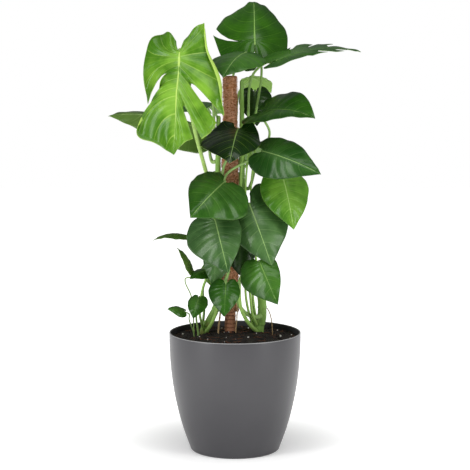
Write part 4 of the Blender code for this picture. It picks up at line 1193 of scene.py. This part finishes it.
class Blade:
    """The curved surface that a flat leaf outline is laid on."""

    def __init__(self, leaf):
        self.leaf = leaf
        self.joint, self.tip = np.array(above_rim(leaf["joint"])), np.array(above_rim(leaf["tip"]))
        chord = self.tip - self.joint
        self.length = float(np.linalg.norm(chord))
        up = np.array(leaf["face"], float)
        up = unit(up - chord * (up @ chord) / (chord @ chord))
        self.crest = self.joint + chord * 0.5 + up * leaf["arch"] * 2 * self.length
        self.side = unit(np.cross(up, chord))

    def midrib(self, y):
        """Points on the midrib at each y, the ways along it and out of the upper side."""
        y = np.asarray(y, float)
        start, end = self.crest - self.joint, self.tip - self.crest
        on = np.clip(y, 0, 1)[..., None]
        point = self.joint * (1 - on) ** 2 + self.crest * 2 * on * (1 - on) + self.tip * on ** 2
        point = point + 2 * start * np.minimum(y, 0)[..., None]
        along = unit(start * (1 - on) + end * on)
        return point, along, unit(np.cross(along, self.side))

    def place(self, x, y, rise):
        """Points of the flat outline on the folded and curved blade, each lifted by rise."""
        leaf = self.leaf
        point, along, up = self.midrib(y)
        right = x >= 0
        out = np.abs(x) * np.where(right, leaf["width"][0], leaf["width"][1])
        fold = np.where(right, leaf["fold"][0], leaf["fold"][1])
        cup = np.where(right, leaf["cup"][0], leaf["cup"][1])
        droop = np.radians(fold + cup * out / CUP_REACH)[..., None]
        hand = np.where(right, 1.0, -1.0)[..., None]
        back = (leaf["lobe_lift"] * np.minimum(y, 0) ** 2)[..., None]
        out = out[..., None]
        flat = self.side * hand * out * np.cos(droop) - up * (out * np.sin(droop) + back)
        lift = (up * np.cos(droop) + self.side * hand * np.sin(droop)) * rise[..., None]
        return point + self.length * flat + lift


def smooth_rows(rows, splits, half):
    """Reads an outline at any t between its rows, smooth except across a split: (m, end x, end y)."""
    table = np.array([(row[0], *row[1 + half]) for row in rows] + [(1.0, 0.0, 1.0)])
    last = len(table) - 1

    def read(t):
        k = min(int(t), last - 1)
        a, b = table[k], table[k + 1]
        if k in splits:
            return a + (b - a) * (t - k)
        before = table[k - 1] if k > 0 and k - 1 not in splits else a - (b - a) * 0.6
        after = table[k + 2] if k + 2 <= last and k + 1 not in splits else b + (b - a) * 0.6
        s = t - k
        tangent_a, tangent_b = (b - before) / 2, (after - a) / 2
        return ((2 * s ** 3 - 3 * s ** 2 + 1) * a + (s ** 3 - 2 * s ** 2 + s) * tangent_a
                + (3 * s ** 2 - 2 * s ** 3) * b + (s ** 3 - s ** 2) * tangent_b)

    return read


# Places of the rows of faces between two side veins, closer together at the veins for a split's sides
ROW_STEPS = (0.0, 0.03, 0.09, 0.18, 0.32, 0.5, 0.68, 0.82, 0.91, 0.97)


def rolled_edge(rolled, t, reach, half, x, lift, length):
    """Rolls the right margin over the face between two rows, from a share of the way out."""
    first, last, start = rolled
    amount = np.sin(np.pi * np.clip((t - first) / (last - first), 0, 1)) ** 0.5 * (half == 0)
    past = np.clip((reach - start) / (1 - start), 0, 1)
    edge = x / np.maximum(reach, 1e-6)
    width = edge * (1 - start)
    turn = ROLL_ANGLE * past * amount
    safe = np.maximum(turn, 1e-6)
    rolled_x = edge * start + width * past * np.where(turn > 1e-5, np.sin(safe) / safe, 1.0)
    rise = width * past * np.where(turn > 1e-5, (1 - np.cos(safe)) / safe, 0.0)
    x = np.where((reach > start) & (half == 0), rolled_x, x)
    return x, lift + rise * length


def blade_mesh(name, leaf, plant):
    """The blade as one sheet: a grid laid on the outline, then given its thickness."""
    rows = OUTLINES[leaf["outline"]]
    count = len(rows)
    ts = [k + s for k in range(count) for s in ROW_STEPS] + [float(count)]
    columns = plant.columns
    deselect()
    bpy.ops.mesh.primitive_grid_add(x_subdivisions=2 * columns, y_subdivisions=len(ts) - 1, size=1)
    piece = new_piece(name)
    mesh = piece.data
    flat = np.empty(len(mesh.vertices) * 3)
    mesh.vertices.foreach_get("co", flat)
    flat = flat.reshape(-1, 3)
    across = np.round(flat[:, 0] * 2 * columns).astype(int)
    row = np.round((flat[:, 1] + 0.5) * (len(ts) - 1)).astype(int)
    reach = (np.abs(across) / columns) ** 1.25
    half = (across < 0).astype(int)
    t = np.array(ts)[row]
    x, y = np.zeros(len(t)), np.zeros(len(t))
    for side, side_name in enumerate(("right", "left")):
        splits = SPLITS[leaf["outline"]][side_name]
        read = smooth_rows(rows, splits, side)
        ends = np.array([read(value) for value in ts])[row]
        limit = np.ones(len(ts))
        for i, value in enumerate(ts):
            k = min(int(value), count - 1)
            if k in splits:
                inner = splits[k]
                limit[i] = inner + (1 - inner) * abs(2 * (value - k) - 1) ** 5
        u = reach * limit[row]
        start, end_x, end_y = ends.T
        bend, rise = leaf["vein_bend"][side]
        bend_x, bend_y = end_x * bend, start + (end_y - start) * rise
        here = half == side
        flat_x = 2 * u * (1 - u) * bend_x + u * u * end_x
        flat_y = (1 - u) ** 2 * start + 2 * u * (1 - u) * bend_y + u * u * end_y
        x[here] = (flat_x if side == 0 else -flat_x)[here]
        y[here] = flat_y[here]
    blade = Blade(leaf)
    size = min(1.0, blade.length / FULL_RELIEF)
    seed = sum(ord(c) for c in name)
    between = np.sin(np.pi * (t % 1)) ** 2
    lift = plant.puff * leaf["puff"] * size * between * np.sin(np.pi * np.clip(reach, 0, 1) ** 0.8) ** 0.7
    lift -= plant.groove * size * np.exp(-((np.abs(x) * blade.length) / GROOVE_WIDTH) ** 2)
    swing = np.sin(2.3 * t + seed) * np.where(half == 0, 1.0, -0.8) + 0.5 * np.sin(5.1 * t + 2.0 * seed)
    calm = np.clip(t, 0, 1) * np.clip(count - t, 0, 1)
    lift += plant.wave * leaf["wave"] * size * reach ** 2 * swing * calm
    if leaf["rolled"]:
        x, lift = rolled_edge(leaf["rolled"], t, reach, half, x, lift, blade.length)
    placed = blade.place(np.where(half == 1, np.minimum(x, -1e-9), np.maximum(x, 0)), y, lift)
    mesh.vertices.foreach_set("co", placed.reshape(-1).astype(np.float32))
    corner = np.empty(len(mesh.loops), int)
    mesh.loops.foreach_get("vertex_index", corner)
    sheet = np.stack([0.5 + 0.5 * reach * np.where(half == 0, 1, -1), t / UV_ROWS], axis=1)[corner]
    mesh.uv_layers.active.name = "UVMap"
    mesh.uv_layers.active.data.foreach_set("uv", sheet.reshape(-1).astype(np.float32))
    mesh.update()
    facing = blade.midrib(np.array([0.3]))[2][0]
    normals = np.zeros(3)
    for face in mesh.polygons:
        normals += np.array(face.normal) * face.area
    if normals @ facing < 0:
        only(piece)
        bpy.ops.object.mode_set(mode="EDIT")
        bpy.ops.mesh.select_all(action="SELECT")
        bpy.ops.mesh.flip_normals()
        bpy.ops.object.mode_set(mode="OBJECT")
    tidy_mesh(piece, outwards=False)
    wall = piece.modifiers.new("thickness", "SOLIDIFY")
    wall.thickness = plant.blade
    wall.offset = 0
    wall.material_offset = 1
    paint(piece, leaf_skin(leaf["look"]), leaf_skin(leaf["look"], under=True))
    bpy.ops.object.modifier_apply(modifier=wall.name)
    bpy.ops.object.shade_smooth()
    return piece, blade


def stalk_mesh(name, leaf, blade, plant):
    """The stalk from its stem or the soil to the joint, running on under the blade as the midrib."""
    point, along, up = (Vector(v[0]) for v in blade.midrib(np.array([0.0])))
    radius = leaf["stalk"]
    behind = math.radians(leaf["behind"])
    back = -(along * math.cos(behind) + up * math.sin(behind))
    drop = JOINT_DROP + 3 * max(0, radius - THIN_STALK)
    corner = point - along * 0.0055 - up * drop
    first = corner + back * 0.011
    route = [above_rim(p) for p in leaf["route"]]
    if len(leaf["from"]) == 2:
        x, y = leaf["from"]
        height = soil_top(bpy.context.scene, x, y)
        base = [Vector((x, y, height + 0.004)), Vector((x, y, height - 0.02))]
        sheath = 1.15
    else:
        stem, height, bearing = leaf["from"]
        centre, thick, grows = stem_at(stem, height)
        bearing = math.radians(bearing)
        out = Vector((math.cos(bearing), math.sin(bearing), 0))
        out = (out - grows * out.dot(grows)).normalized()
        base = [centre + out * (thick + 0.010), centre + out * thick * 0.7]
        sheath = 1.7
    outer = smooth_path([corner, first, *reversed(route), *base], STALK_STEP)[::-1]
    run = distances(outer)
    total = run[-1]
    radii = []
    for reached in run:
        left = total - reached
        swell = 0.22 * math.exp(-((left - 0.012) / 0.009) ** 2)
        foot = (sheath - 1) * math.exp(-reached / 0.022)
        taper = 1.08 - 0.14 * reached / total
        radii.append(radius * (taper + swell + foot))
    shares = np.linspace(0.0, 1.0, 40)[1:] ** 0.9
    points, _, ups = blade.midrib(shares * 0.985)
    rib = []
    for share, place, rise in zip(shares, points, ups):
        size = (radius * 0.62 * min(1.0, blade.length / 0.12) + 0.0003) * (1 - share) + 0.0004
        rib.append((Vector(place) - Vector(rise) * (size + plant.groove * 0.35), size))
    path = outer + [place for place, size in rib]
    radii += [size for place, size in rib]
    piece = swept(name + "_stalk", path, radii, 3)
    paint(piece, stalk_skin(leaf["look"], stalk_colour(leaf, plant)))
    return piece


def stalk_colour(leaf, plant):
    """Stalks take after their blade: paler than it, and yellower on a young leaf."""
    own = np.array(LEAF_LOOKS[leaf["look"]][3])
    return tuple(0.5 * np.array(tuple(plant.stalk)) + 0.5 * own)


class MONSTERA_OT_leaves(bpy.types.Operator):
    """Adds every leaf: the blade with its veins, and its stalk"""

    bl_idname = "monstera.add_leaves"
    bl_label = "Add leaves"

    def execute(self, context):
        plant = context.scene.monstera_plant
        for name, leaf in LEAVES.items():
            sheet, blade = blade_mesh(name, leaf, plant)
            stalk = stalk_mesh(name, leaf, blade, plant)
            piece = joined([sheet, stalk])
            hand_over(piece, leaf["slot"], name)
        return {"FINISHED"}


# ---- Stage ----

# Each light that shines on the plant: its place, width and height
LIGHTS = {
    "key_light": ((-2.15, -1.75, 1.25), 0.8, 2.3),
    "fill_light": ((2.2, -1.75, 1.2), 0.7, 2.2),
    "top_light": ((0.1, -0.9, 2.8), 2.0, 1.6),
}


class MONSTERA_OT_stage(bpy.types.Operator):
    """Sets the floor, the lights and the camera"""

    bl_idname = "monstera.set_stage"
    bl_label = "Set the stage"

    def execute(self, context):
        stage = context.scene.monstera_stage
        deselect()
        bpy.ops.mesh.primitive_plane_add(size=FLOOR_SIZE, location=(0, 0, CAD_BOX[0].z))
        floor = bpy.context.object
        floor.name = "studio_floor"
        bpy.ops.object.transform_apply(location=True)
        paint(floor, studio_floor(stage.glow))
        floor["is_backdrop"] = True
        middle = Vector((0, 0, (CAD_BOX[0].z + CAD_BOX[1].z) / 2))
        powers = (stage.key, stage.fill, stage.top)
        for (name, (place, width, height)), power in zip(LIGHTS.items(), powers):
            self.add_light(name, place, middle, width, height, power)
        world = context.scene.world or bpy.data.worlds.new("studio")
        context.scene.world = world
        world.use_nodes = True
        self.set_sky(world.node_tree, stage.sky)
        self.add_camera(context.scene, stage)
        context.scene.view_settings.view_transform = "Standard"
        return {"FINISHED"}

    def set_sky(self, tree, strength):
        """A white backdrop for the camera, with dimmer light from it on the plant."""
        sky = tree.nodes["Background"]
        sky.inputs["Color"].default_value = (1, 1, 1, 1)
        sky.inputs["Strength"].default_value = strength
        backdrop = tree.nodes.new("ShaderNodeBackground")
        backdrop.inputs["Color"].default_value = (1, 1, 1, 1)
        rays = tree.nodes.new("ShaderNodeLightPath")
        mixed = tree.nodes.new("ShaderNodeMixShader")
        tree.links.new(rays.outputs["Is Camera Ray"], mixed.inputs[0])
        tree.links.new(sky.outputs[0], mixed.inputs[1])
        tree.links.new(backdrop.outputs[0], mixed.inputs[2])
        tree.links.new(mixed.outputs[0], tree.nodes["World Output"].inputs["Surface"])

    def add_light(self, name, place, target, width, height, power):
        deselect()
        aim = (target - Vector(place)).to_track_quat("-Z", "Y").to_euler()
        bpy.ops.object.light_add(type="AREA", location=place, rotation=aim)
        light = bpy.context.object
        light.name = name
        light.data.shape = "RECTANGLE"
        light.data.size = width
        light.data.size_y = height
        light.data.energy = power

    def add_camera(self, scene, stage):
        deselect()
        place = Vector((0, -stage.distance, stage.height))
        aim = (Vector((0, 0, stage.aim)) - place).to_track_quat("-Z", "Y").to_euler()
        bpy.ops.object.camera_add(location=place, rotation=aim)
        camera = bpy.context.object
        camera.name = "front_camera"
        camera.data.lens = stage.lens
        camera.data.sensor_width = 36
        scene.camera = camera


# ---- Panel ----

SETTINGS = {
    "monstera_pot": PotSettings,
    "monstera_soil": SoilSettings,
    "monstera_pole": PoleSettings,
    "monstera_plant": PlantSettings,
    "monstera_stage": StageSettings,
}
OPERATORS = (MONSTERA_OT_pot, MONSTERA_OT_soil, MONSTERA_OT_pole, MONSTERA_OT_stems, MONSTERA_OT_leaves,
             MONSTERA_OT_stage)


class MONSTERA_PT_panel(bpy.types.Panel):
    """Lists the pieces of the plant and their sizes"""

    bl_idname = "MONSTERA_PT_panel"
    bl_label = "Potted monstera"
    bl_space_type = "VIEW_3D"
    bl_region_type = "UI"
    bl_category = "Monstera"

    def draw(self, context):
        for operator in OPERATORS:
            self.layout.operator(operator.bl_idname)
        for name in SETTINGS:
            group = getattr(context.scene, name)
            box = self.layout.box()
            for key in group.__annotations__:
                box.prop(group, key)


def register():
    for name, group in SETTINGS.items():
        bpy.utils.register_class(group)
        setattr(bpy.types.Scene, name, PointerProperty(type=group))
    for kind in (*OPERATORS, MONSTERA_PT_panel):
        bpy.utils.register_class(kind)


def unregister():
    for kind in (MONSTERA_PT_panel, *reversed(OPERATORS)):
        bpy.utils.unregister_class(kind)
    for name, group in reversed(SETTINGS.items()):
        delattr(bpy.types.Scene, name)
        bpy.utils.unregister_class(group)


def main():
    register()
    bpy.ops.monstera.set_stage()
    bpy.ops.monstera.add_pot()
    bpy.ops.monstera.add_soil()
    bpy.ops.monstera.add_pole()
    bpy.ops.monstera.add_stems()
    bpy.ops.monstera.add_leaves()
    boxes = {"cad": CAD_BOX, "visual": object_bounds()}
    {name: [list(corner) for corner in box] for name, box in boxes.items()}


if __name__ == "__main__":
    main()
